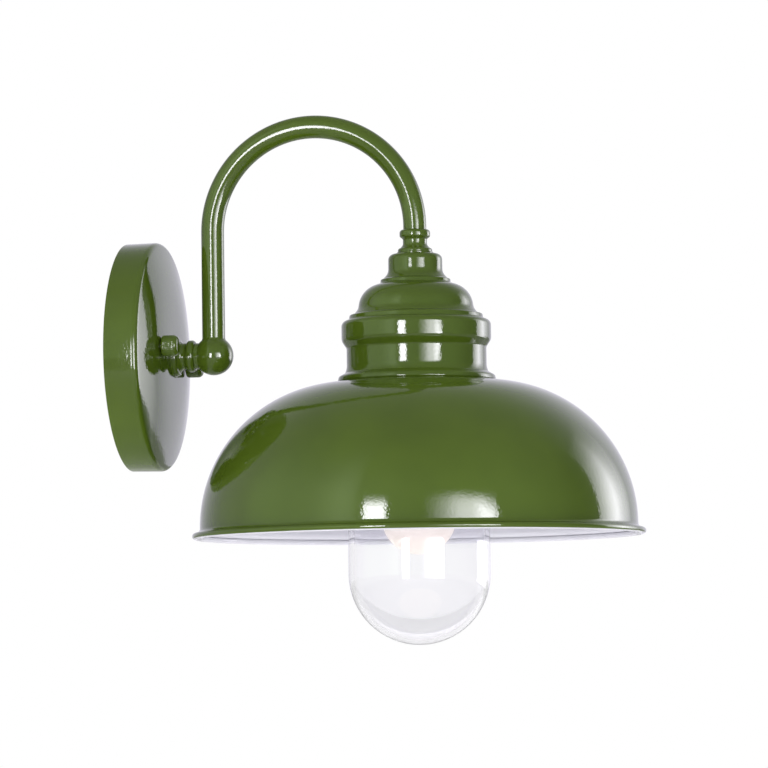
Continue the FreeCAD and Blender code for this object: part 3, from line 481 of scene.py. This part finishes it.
def coupling_profile(flange_r, waist_r, bead_r, waist, bead, bore):
    """Flange, hollow, waist and bead, from the seat upwards, closed through its bore."""
    c = COUPLING
    foot = c["hollow"] + waist
    top = foot + c["rise"] + bead
    body_r = flange_r - c["step"]
    corners = [(bore, 0), (flange_r, 0, 0.1), (flange_r, c["flange_edge"], c["edge_r"]),
               (body_r, c["flange_edge"], 0.15), (body_r, c["shoulder"], c["shoulder_r"]),
               (waist_r + c["lip"], c["shoulder"] + c["drop"], 0.3),
               (waist_r, c["hollow"], c["hollow_r"]), (waist_r, foot, c["foot_r"]),
               (bead_r, foot + c["rise"], c["low_r"]),
               (bead_r, top, c["top_r"]), (bore, top)]
    return rounded(corners, 10.0)


BELL_TOP = bell_high[2]
TUBE_R = 7.75
wall_foot = coupling_profile(flange_r=14.0, waist_r=8.9, bead_r=10.8, waist=2.7, bead=4.4, bore=4.0)
neck_foot = coupling_profile(flange_r=12.3, waist_r=8.1, bead_r=10.3, waist=4.0, bead=4.8, bore=5.5)
piece("wall_foot_turned", [turned(wall_foot, (PLATE_FRONT, 0, 0), "X", 128)],
      "fixture", ["wall_coupling"], green_enamel)
piece("neck_foot_turned", [turned(neck_foot, (SHADE_X, 0, BELL_TOP), "Z", 128)],
      "fixture", ["neck_coupling"], green_enamel)

# %% [markdown]
# ## Cap nuts
#
# Two capped nuts hold the plate to the bracket behind it. Their fine knurl is nearly filled
# with paint, so it only shows as faint flutes round the barrel.

# %% Cap nuts
NUT_R, NUT_LENGTH, NUT_BASE = 7.05, 11.2, PLATE_FRONT + 0.1
STUD_SPACING, STUD_TURN = 70.0, 8.0
FLUTES, FLUTE_DEPTH = 40, 0.11


def fluted_nut(around=480):
    """A turned barrel whose side is drawn in by a small cosine wave, fading at both rims."""
    side = rounded([(0, 0), (NUT_R, 0, 1.4), (NUT_R, NUT_LENGTH, 3.2), (0, NUT_LENGTH)], 6.0)
    steps = [side[:1]]
    for start, end in zip(side, side[1:]):
        count = max(1, int(abs(end[1] - start[1]) / 0.8))
        part = np.linspace(0, 1, count + 1)[1:, None]
        steps.append(start + (end - start) * part)
    side = np.concatenate(steps)
    grid, _, _ = turned(side, (0, 0, 0), "X", around)
    t = np.linspace(0, 2 * math.pi, around, endpoint=False)[None, :]
    fade = np.clip((side[:, 0] / NUT_R - 0.93) / 0.07, 0, 1)[:, None]
    scale = 1 - FLUTE_DEPTH / NUT_R * fade * (0.5 - 0.5 * np.cos(FLUTES * t))
    grid[:, :, 1] *= scale
    grid[:, :, 2] *= scale
    return grid


for name, side, body in (("near_cap_nut", -1, "near_nut"), ("far_cap_nut", 1, "far_nut")):
    turn = math.radians(-STUD_TURN)
    reach = side * STUD_SPACING / 2
    place = np.array([NUT_BASE, reach * math.cos(turn), reach * math.sin(turn)])
    piece(name.replace("cap", "barrel"), [(fluted_nut() + place, False, True)],
          body, [name], green_enamel)

# %% [markdown]
# ## Ball elbow and arm
#
# The arm is one length of steel tube bent round a half-circle former. At the wall it ends in
# a turned ball with a short neck. The tube's grid follows its centre line: straight, a half
# circle of 70 mm radius, and straight again.

# %% Ball elbow
BALL_X = tube_low[0] + TUBE_R
BALL_R, BALL_FACE, BOSS_R, BALL_NECK, FILLET_R = 13.25, 12.5, 8.8, 15.0, 2.5
SPIGOT = 8.0                # how far the ball's neck reaches into the tube


def arc(centre, radius, start, end, step=3.0):
    """Points of an arc between two angles in degrees."""
    count = max(3, int(abs(end - start) / step) + 1)
    t = np.radians(np.linspace(start, end, count))
    return np.stack([centre[0] + radius * np.cos(t), centre[1] + radius * np.sin(t)], 1)


fillet_x = TUBE_R + FILLET_R
fillet_z = math.sqrt((BALL_R + FILLET_R) ** 2 - fillet_x ** 2)
lean = math.degrees(math.atan2(fillet_z, fillet_x))
ball_side = np.concatenate([
    arc((0, 0), BALL_R, -90, lean), arc((fillet_x, fillet_z), FILLET_R, 180 + lean, 180, 8.0)[1:],
    [[TUBE_R, BALL_NECK], [TUBE_R - SHEET, BALL_NECK],
     [TUBE_R - SHEET, BALL_NECK + SPIGOT], [0, BALL_NECK + SPIGOT]]])
boss_side = rounded([(0, 0), (BOSS_R, 0, 0.3), (BOSS_R, 4.0), (0, 4.0)])
piece("ball_turned", [turned(ball_side, (BALL_X, 0, 0), "Z", 160, closed=False),
                      turned(boss_side, (BALL_X - BALL_FACE, 0, 0), "X", 96, closed=False)],
      "fixture", ["ball_elbow"], green_enamel)


# %% Bent tube
ARCH_Z, REACH = 83.3, SHADE_X - BALL_X
TUBE_END = BELL_TOP + 10.4


def arm_line():
    """Centre line of the arm and its direction, in the plane Y = 0."""
    rise = np.linspace(BALL_NECK, ARCH_Z, 12)
    bend = np.radians(np.linspace(180, 0, 97))
    fall = np.linspace(ARCH_Z, TUBE_END, 4)
    x = np.concatenate([np.full(11, BALL_X), BALL_X + REACH / 2 + REACH / 2 * np.cos(bend),
                        np.full(3, SHADE_X)])
    z = np.concatenate([rise[:-1], ARCH_Z + REACH / 2 * np.sin(bend), fall[1:]])
    heading = np.concatenate([np.full(11, 90.0), 90 - np.linspace(0, 180, 97), np.full(3, -90.0)])
    return x, z, np.radians(heading)


def swept(x, z, heading, radius, around=96):
    """A round section carried along a line in the plane Y = 0, square to its direction."""
    t = np.linspace(0, 2 * math.pi, around, endpoint=False)[None, :]
    out_x, out_z = -np.sin(heading)[:, None], np.cos(heading)[:, None]
    return np.stack([x[:, None] + radius * np.cos(t) * out_x,
                     radius * np.sin(t) * np.ones_like(out_x),
                     z[:, None] + radius * np.cos(t) * out_z], -1)


line = arm_line()
outside, inside = swept(*line, TUBE_R), swept(*line, TUBE_R - SHEET)
tube_grid = np.concatenate([outside, inside[::-1]])
piece("arm_bent_tube", [(tube_grid, True, True)], "fixture", ["arm_tube"], green_enamel)

# %% [markdown]
# ## The bell
#
# The bell that crowns the shade was spun in four tiers: a cap, a dome, a band and a flared
# skirt. The spinner pressed a fine crease between the tiers, and those creases catch the
# light as thin lines, so they are in the profile and not in the material.

# %% Bell
CAP_R, LEDGE_R, DOME_R, STEP_R, BAND_R, WAIST_R, SKIRT_R = 18.1, 23.6, 36.6, 45.1, 50.2, 46.9, 53.0
CAP_HEIGHT, DOME_HEIGHT, BAND_HEIGHT = 19.1, 24.4, 20.3
SHADE_TOP = bell_low[2]
cap_foot = BELL_TOP - CAP_HEIGHT
dome_foot = cap_foot - DOME_HEIGHT
band_foot = dome_foot - BAND_HEIGHT
bell_corners = [
    (NIPPLE_HOLE_R, BELL_TOP),
    (CAP_R, BELL_TOP, 4.0),
    (CAP_R + 0.1, cap_foot + 6.2, 7.0),
    (LEDGE_R - 2.0, cap_foot + 2.6, 0.2),
    (LEDGE_R - 0.2, cap_foot + 1.8, 0.8),
    (LEDGE_R, cap_foot - 0.1, 0.2),
    (LEDGE_R + 0.5, cap_foot - 0.7, 0.25),
    (DOME_R, cap_foot - 4.6, 16.0),
    (DOME_R + 2.3, dome_foot + 6.6, 6.5),
    (STEP_R - 3.6, dome_foot + 3.4, 0.2),
    (STEP_R - 0.4, dome_foot + 2.4, 1.0),
    (STEP_R, dome_foot - 0.1, 0.2),
    (STEP_R + 0.4, dome_foot - 0.7, 0.25),
    (BAND_R, dome_foot - 1.7, 4.2),
    (BAND_R, band_foot + 5.6, 6.0),
    (WAIST_R, band_foot + 0.6, 3.0),
    (WAIST_R, SHADE_TOP + 9.0, 12.0),
    (SKIRT_R - 4.8, SHADE_TOP + 6.3, 0.2),
    (SKIRT_R - 0.5, SHADE_TOP + 3.9, 2.4),
    (SKIRT_R, SHADE_TOP + 1.3, 1.3),
    (SKIRT_R - 0.6, SHADE_TOP)]
piece("bell_spun", [turned(sheet_profile(bell_corners), (SHADE_X, 0, 0), "Z", 256)],
      "fixture", ["bell_cap"], green_enamel)

# %% [markdown]
# ## The shade
#
# The shade is a spun dome with its edge rolled over a wire. Green goes on outside and white
# inside, and the white comes round under the rolled rim as a bright line. The two colours
# are two closed skins that meet in the middle of the sheet.

# %% Shade
SHADE_HOLE_R, SHADE_R, BEND_R, LIP_R, RIM_R = 40.0, 146.5, 96.5, 3.0, 2.2
SHADE_MOUTH = SHADE_TOP - BEND_R - LIP_R
RIM_AT = (SHADE_R + LIP_R, SHADE_MOUTH - RIM_R)
COLOUR_EDGE = -40.0         # degrees below level where the rim's green ends
shade_corners = [(SHADE_HOLE_R, SHADE_TOP), (SHADE_R, SHADE_TOP, BEND_R),
                 (SHADE_R, SHADE_MOUTH, LIP_R), (SHADE_R + LIP_R, SHADE_MOUTH)]
outer, _ = sheet(shade_corners, SHEET)
_, middle = sheet(shade_corners, SHEET / 2)
_, inner = sheet(shade_corners, SHEET)
inner_meets = 180 - math.degrees(math.asin((RIM_R - SHEET) / RIM_R))
fine = 2.0
green_side = np.concatenate([rounded(outer, fine), arc(RIM_AT, RIM_R, 90, COLOUR_EDGE, 6.0)[1:],
                             [RIM_AT], rounded(middle, fine)])
white_side = np.concatenate([rounded(inner[::-1], fine)[:-1],
                             arc(RIM_AT, RIM_R, inner_meets, 360 + COLOUR_EDGE, 6.0),
                             [RIM_AT], rounded(middle, fine)])
piece("shade_green_skin", [turned(green_side, (SHADE_X, 0, 0), "Z", 384)],
      "fixture", ["dome_shade"], green_enamel)
piece("shade_white_skin", [turned(white_side, (SHADE_X, 0, 0), "Z", 384)],
      "fixture", ["dome_shade"], white_enamel)

# %% [markdown]
# ## Glass
#
# The jar is thick blown glass with a neck that screws into the collar under the shade. Thick
# glass shows its wall as a second line inside its outline, so the jar is a closed skin with
# its true wall. The bulb hangs inside it.

# %% Jar
JAR_TOP, JAR_WALL = box_mm("glass_jar")[1][2], 3.5
JAR_NECK_R, JAR_R = 42.5, 47.5
NECK_LENGTH, SHOULDER_LENGTH, BARREL_LENGTH = 16.8, 4.0, 99.8
neck_end = JAR_TOP - NECK_LENGTH
shoulder_end = neck_end - SHOULDER_LENGTH
jar_bottom = shoulder_end - BARREL_LENGTH - JAR_R
jar_corners = [(JAR_NECK_R, JAR_TOP), (JAR_NECK_R, neck_end, 3.0), (JAR_R, shoulder_end, 5.0),
               (JAR_R, jar_bottom, JAR_R), (0, jar_bottom)]
jar_outer, jar_inner = sheet(jar_corners, JAR_WALL)
jar_side = np.concatenate([rounded(jar_outer, 1.5), rounded(jar_inner, 1.5)])
piece("jar_blown", [turned(jar_side, (SHADE_X, 0, 0), "Z", 256)],
      "jar", ["glass_jar"], clear_glass)

# %% Bulb
BULB_CAP_R, BULB_R = 13.25, 25.0
BULB_CAP_END, BULB_CAP_TOP = [corner[2] for corner in box_mm("bulb_cap")]
neck_r = BULB_CAP_R - 0.5
neck_curve = 30.0
centre_r = neck_r + neck_curve
drop = math.sqrt((neck_curve + BULB_R) ** 2 - centre_r ** 2)
lean = math.degrees(math.atan2(drop, centre_r))
bulb_side = np.concatenate([
    [[0, BULB_CAP_END + 6], [neck_r, BULB_CAP_END + 6]],
    arc((centre_r, BULB_CAP_END), neck_curve, 180, 180 + lean),
    arc((0, BULB_CAP_END - drop), BULB_R, lean, -90)[1:]])
piece("bulb_blown", [turned(bulb_side, (SHADE_X, 0, 0), "Z", 160, closed=False)],
      "bulb", ["bulb_glass"], opal_glass)

# %% [markdown]
# ## Lampholder and carrier
#
# From below, the glass shows what carries the bulb: a white disc with its collar, a
# porcelain holder, and the bulb's aluminium screw cap. The cap's thread was rolled, so its
# profile is a wave that climbs 3.6 mm a turn.

# %% Carrier and lampholder
CARRIER_R, COLLAR_R, COLLAR_BORE_R, COLLAR_DROP = 50.0, 48.0, 43.0, 17
CARRIER_TOP = box_mm("glass_carrier")[1][2]
CARRIER_UNDER = CARRIER_TOP - 2.5
carrier_side = rounded([(NIPPLE_HOLE_R, CARRIER_TOP), (CARRIER_R, CARRIER_TOP, 1.0),
                        (CARRIER_R, CARRIER_UNDER, 0.3), (COLLAR_R, CARRIER_UNDER, 0.3),
                        (COLLAR_R, CARRIER_UNDER - COLLAR_DROP, 1.0),
                        (COLLAR_BORE_R, CARRIER_UNDER - COLLAR_DROP, 0.5),
                        (COLLAR_BORE_R, CARRIER_UNDER), (NIPPLE_HOLE_R, CARRIER_UNDER)])
piece("carrier_disc", [turned(carrier_side, (SHADE_X, 0, 0), "Z", 192)],
      "fixture", ["glass_carrier"], white_enamel)
HOLDER_R, HOLDER_SEAT_R, HOLDER_BORE_R, HOLDER_HEIGHT, SEAT_DEPTH = 19.0, 16.1, 14.2, 36, 4
HOLDER_SEAM = box_mm("lampholder_body")[1][2]
holder_side = rounded([(HOLDER_SEAT_R, HOLDER_SEAM), (HOLDER_R, HOLDER_SEAM, 0.5),
                       (HOLDER_R, HOLDER_SEAM - HOLDER_HEIGHT, 1.5),
                       (HOLDER_BORE_R, HOLDER_SEAM - HOLDER_HEIGHT, 1.5),
                       (HOLDER_BORE_R, HOLDER_SEAM - SEAT_DEPTH),
                       (HOLDER_SEAT_R, HOLDER_SEAM - SEAT_DEPTH)])
piece("holder_fired", [turned(holder_side, (SHADE_X, 0, 0), "Z", 128)],
      "fixture", ["lampholder_body"], porcelain)


# %% Bulb's screw cap
def screw_cap(thread_depth=0.7, pitch=3.62, around=128):
    """A turned skin whose radius follows a helical cosine: r - d (1 - cos(2 pi z / p + t)) / 2."""
    z = np.linspace(BULB_CAP_TOP - 2.5, BULB_CAP_END, 96)
    t = np.linspace(0, 2 * math.pi, around, endpoint=False)
    fade = np.clip(np.minimum(z[0] - z, z - z[-1]) / 2.5, 0, 1)[:, None]
    wave = 0.5 - 0.5 * np.cos(2 * math.pi * z[:, None] / pitch + t[None, :])
    r = BULB_CAP_R - thread_depth * fade * wave
    side = np.stack([SHADE_X + r * np.cos(t), r * np.sin(t), np.repeat(z[:, None], around, 1)], -1)
    ends = [turned(np.array(rim, float), (SHADE_X, 0, 0), "Z", around)[0]
            for rim in ([(0, BULB_CAP_TOP), (9.5, BULB_CAP_TOP)], [(BULB_CAP_R - 0.4, BULB_CAP_END)])]
    return np.concatenate([ends[0], side, ends[1]])


piece("bulb_cap_rolled", [(screw_cap(), False, True)],
      "bulb", ["bulb_cap"], drawn_aluminium)

# %% [markdown]
# ## Fittings that keep their solid
#
# The nuts, washers, wires and terminals are small and mostly hidden. Their solids are right
# as they are, so they only get the metal, rubber or plastic that each is made of.

# %% Materials of the solids
FINISHES = {
    zinc_steel: ["wall_bracket", "plate_studs", "stud_lock_nuts", "arm_nipple", "arm_lock_washer",
                 "arm_lock_nut", "bell_washer", "bell_lock_nut", "carrier_washer", "carrier_lock_nut",
                 "centre_nipple", "lampholder_cap"],
    turned_brass: ["terminal_screws", "earth_screw", "lampholder_terminals", "lamp_centre_contact",
                   "lamp_screw_shell", "bulb_contact"],
    porcelain: ["lampholder_insert"],
    white_nylon: ["terminal_block"],
    black_rubber: ["jar_gasket", "shade_seal"],
    dark_glass: ["bulb_insulator"],
    brown_wire: ["live_wire"],
    blue_wire: ["neutral_wire"],
    earth_wire_skin: ["earth_wire"],
}
for material, nodes in FINISHES.items():
    for node in nodes:
        for material_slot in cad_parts[node].material_slots:
            material_slot.material = material
print("solids with a material:", sum(len(nodes) for nodes in FINISHES.values()))

# %% [markdown]
# ## Studio
#
# The light hangs in a white studio. What its gloss shows was read off the photograph: two tall
# soft boxes in front, a narrow one and a wide one that fades to grey, a pale panel behind to
# the right, and grey surroundings. Their places and levels were fitted to the reflections in
# the paint, and they show only in the gloss. The even light comes from the world and from
# three large lamps, one in front, one behind and one at the floor, at the level where a colour
# renders about as it is written.

# %% World
WORLD_DIFFUSE = 0.5         # radiance of the world as matt surfaces see it
OVERHEAD = 0.38             # and as a gloss sees it, straight up
BRIGHTEST = 3.0             # a ramp holds at most 1, so levels are divided by this
COOL = (0.90, 0.87, 1.0)    # the studio's own tint
LEAFY = (1.15, 1.40, 1.0)   # its green side
# What a gloss sees at its own level: degrees round from the camera's side, radiance and tint.
SURROUND = [(-180, 1.0, COOL), (-160, 0.8, COOL), (-130, 0.55, COOL), (-108, 0.62, COOL),
            (-92, 0.8, LEAFY), (-62, 0.88, LEAFY), (-52, 1.1, LEAFY), (-42, 1.45, LEAFY),
            (-36, 1.3, LEAFY), (-32, 0.7, LEAFY), (-14, 0.6, LEAFY), (0, 0.5, LEAFY),
            (50, 0.5, LEAFY), (65, 0.42, LEAFY), (85, 0.28, COOL), (95, 0.2, COOL),
            (104, 0.25, COOL), (112, 0.5, COOL), (140, 1.2, COOL), (150, 1.3, COOL),
            (165, 1.05, COOL), (180, 1.0, COOL)]
a = math.radians(CAMERA_AZIMUTH)
level_back = (math.sin(a), -math.cos(a), 0.0)
level_right = (math.cos(a), math.sin(a), 0.0)

world = bpy.data.worlds.new("white_studio")
bpy.context.scene.world = world
world.use_nodes = True
tree = world.node_tree
tree.nodes.clear()
heading = add_node(tree, "ShaderNodeTexCoord").outputs["Generated"]
across, along, upward = [add_node(tree, "ShaderNodeVectorMath", {1: axis}, {0: heading},
                                  operation="DOT_PRODUCT").outputs["Value"]
                         for axis in (level_right, level_back, (0.0, 0.0, 1.0))]
angle = maths(tree, "ARCTAN2", across, along)
place = add_node(tree, "ShaderNodeMapRange", {"From Min": -math.pi, "From Max": math.pi},
                 {"Value": angle}).outputs["Result"]
stops = [((turn + 180) / 360, (*[level * c / BRIGHTEST for c in tint], 1.0))
         for turn, level, tint in SURROUND]
steep = add_node(tree, "ShaderNodeMapRange", {"From Min": 0.3, "From Max": 0.94}, {"Value": upward},
                 interpolation_type="SMOOTHSTEP").outputs["Result"]
gloss = add_node(tree, "ShaderNodeMixRGB", {"Color2": grey(OVERHEAD / BRIGHTEST)},
                 {"Fac": steep, "Color1": ramp(tree, place, stops)}).outputs["Color"]
ray = add_node(tree, "ShaderNodeLightPath").outputs
light = add_node(tree, "ShaderNodeMixRGB", {"Color1": grey(WORLD_DIFFUSE / BRIGHTEST)},
                 {"Fac": ray["Is Glossy Ray"], "Color2": gloss}).outputs["Color"]
light = add_node(tree, "ShaderNodeMixRGB", {"Color2": grey(1 / BRIGHTEST)},
                 {"Fac": seen_plainly(tree), "Color1": light}).outputs["Color"]
background = add_node(tree, "ShaderNodeBackground", {"Strength": BRIGHTEST}, {"Color": light})
add_node(tree, "ShaderNodeOutputWorld", links={"Surface": background.outputs[0]})


# %% Lamps
LAMP_TINT = (0.96, 0.94, 1.0)
BOX_FOOT, BOX_DISTANCE = -0.44, 2.0
UP = np.array([0.0, 0.0, 1.0])


def lamp(name, turn, width, low, high, radiance, distance):
    """An area light that faces the shade's axis, turned by an angle from the camera's side."""
    t = math.radians(turn)
    towards = np.array(level_back) * math.cos(t) + np.array(level_right) * math.sin(t)
    data = bpy.data.lights.new(name, "AREA")
    data.shape = "RECTANGLE"
    data.size, data.size_y = width, high - low
    data.energy = radiance * math.pi * width * (high - low)
    data.color = LAMP_TINT
    thing = bpy.data.objects.new(name, data)
    bpy.context.scene.collection.objects.link(thing)
    place = np.array([SHADE_X * MM, 0, (high + low) / 2]) + towards * distance
    thing.matrix_world = Matrix(matrix_from_axes(np.cross(UP, towards), UP, towards, place))
    thing.visible_camera = False
    thing.visible_transmission = False
    return thing


def soft_box(name, turn, width, high, radiance, side, rise, corner=((0.0, 1.0), (1.0, 1.0))):
    """A lamp that shows only in gloss; its light is the product of three ramps.

    They run from its left edge to its right, from its foot to its top, and towards its top
    right corner, which is how the cloth of a real soft box darkens towards its edges.
    """
    thing = lamp(name, turn, width, BOX_FOOT, high, radiance, BOX_DISTANCE)
    thing.visible_diffuse = False
    thing.data.use_nodes = True
    tree = thing.data.node_tree
    spot = add_node(tree, "ShaderNodeNewGeometry").outputs["Parametric"]
    spot = add_node(tree, "ShaderNodeSeparateXYZ", links={"Vector": spot}).outputs
    slant = add_node(tree, "ShaderNodeMix", {"Factor": 0.545}, {"A": spot["Y"], "B": spot["X"]})
    strength = 1.0
    for source, stops in ((spot["X"], side), (spot["Y"], rise), (slant.outputs["Result"], corner)):
        part = ramp(tree, source, [(place, grey(level)) for place, level in stops])
        strength = maths(tree, "MULTIPLY", strength, part)
    tree.links.new(strength, tree.nodes["Emission"].inputs["Strength"])
    return thing


narrow = soft_box("soft_box_narrow", turn=-22.5, width=0.45, high=0.62, radiance=25.0,
                  side=[(0.0, 0.1), (0.1, 0.75), (0.2, 1.0), (0.8, 1.0), (0.91, 0.7), (1.0, 0.08)],
                  rise=[(0.64, 1.0), (0.70, 0.8), (0.75, 0.55), (0.80, 0.32), (0.86, 0.14),
                        (0.93, 0.04), (1.0, 0.0)])
wide = soft_box("soft_box_wide", turn=21.2, width=1.33, high=0.73, radiance=23.5,
                side=[(0.0, 0.02), (0.084, 0.05), (0.245, 0.18), (0.322, 0.28), (0.4, 0.41),
                      (0.476, 0.5), (0.628, 0.56), (0.705, 0.72), (0.775, 0.98), (0.97, 1.0),
                      (1.0, 0.5)],
                rise=[(0.5, 1.0), (0.618, 0.93), (0.678, 0.84), (0.738, 0.72), (0.8, 0.55),
                      (0.863, 0.28), (0.929, 0.1), (1.0, 0.0)],
                corner=[(0.659, 1.0), (0.773, 0.5), (0.886, 0.1)])
panel = soft_box("panel_behind", turn=124.7, width=1.40, high=1.40, radiance=7.2,
                 side=[(0.0, 0.45), (0.085, 0.56), (0.215, 0.8), (0.34, 0.95), (0.463, 1.0),
                       (0.586, 0.6), (0.71, 0.33), (0.837, 0.18), (1.0, 0.0)],
                 rise=[(0.357, 1.0), (0.433, 0.92), (0.511, 0.78), (0.592, 0.6), (0.679, 0.45),
                       (0.772, 0.25), (0.87, 0.13), (1.0, 0.0)])
front = lamp("lamp_front", turn=-8.0, width=1.3, low=-0.35, high=0.95, radiance=2.0, distance=1.6)
behind = lamp("lamp_behind", turn=172.0, width=1.3, low=-0.35, high=0.95, radiance=1.6, distance=1.6)
below = lamp("lamp_below", turn=0.0, width=1.0, low=-0.5, high=0.5, radiance=0.85, distance=0.0)
below.matrix_world = Matrix(matrix_from_axes((1, 0, 0), (0, -1, 0), (0, 0, -1),
                                             (SHADE_X * MM, 0, BOX_FOOT)))
for thing in (front, behind, below):
    thing.visible_glossy = False
print("lamps:", {thing.name: round(thing.data.energy, 1)
                 for thing in (narrow, wide, panel, front, behind, below)})

# %% Floor and view
FLOOR_Z, FLOOR_HALF = -0.45, 6
FLOOR_GLOW = 0.45           # added where the camera sees the floor, so that it looks white
floor_mesh = bpy.data.meshes.new("studio_floor")
floor_mesh.from_pydata([(x * FLOOR_HALF, y * FLOOR_HALF, FLOOR_Z)
                        for x, y in ((-1, -1), (1, -1), (1, 1), (-1, 1))], [], [(0, 1, 2, 3)])
floor = bpy.data.objects.new("studio_floor", floor_mesh)
bpy.context.scene.collection.objects.link(floor)
floor_material, tree, shader = new_material("studio_floor_paper", Roughness=0.9)
tree.links.new(ramp(tree, noise(tree, 300.0), [(0.3, grey(0.80)), (0.7, grey(0.82))]),
               shader.inputs["Base Color"])
shader.inputs["Emission Color"].default_value = grey(1.0)
tree.links.new(maths(tree, "MULTIPLY", seen_plainly(tree), FLOOR_GLOW),
               shader.inputs["Emission Strength"])
underside = add_node(tree, "ShaderNodeNewGeometry").outputs["Backfacing"]
clear = add_node(tree, "ShaderNodeBsdfTransparent").outputs[0]
one_sided = add_node(tree, "ShaderNodeMixShader", links={0: underside, 1: shader.outputs[0], 2: clear})
tree.links.new(one_sided.outputs[0], tree.nodes["Material Output"].inputs["Surface"])
floor_mesh.materials.append(floor_material)
bpy.context.scene.view_settings.view_transform = "Standard"
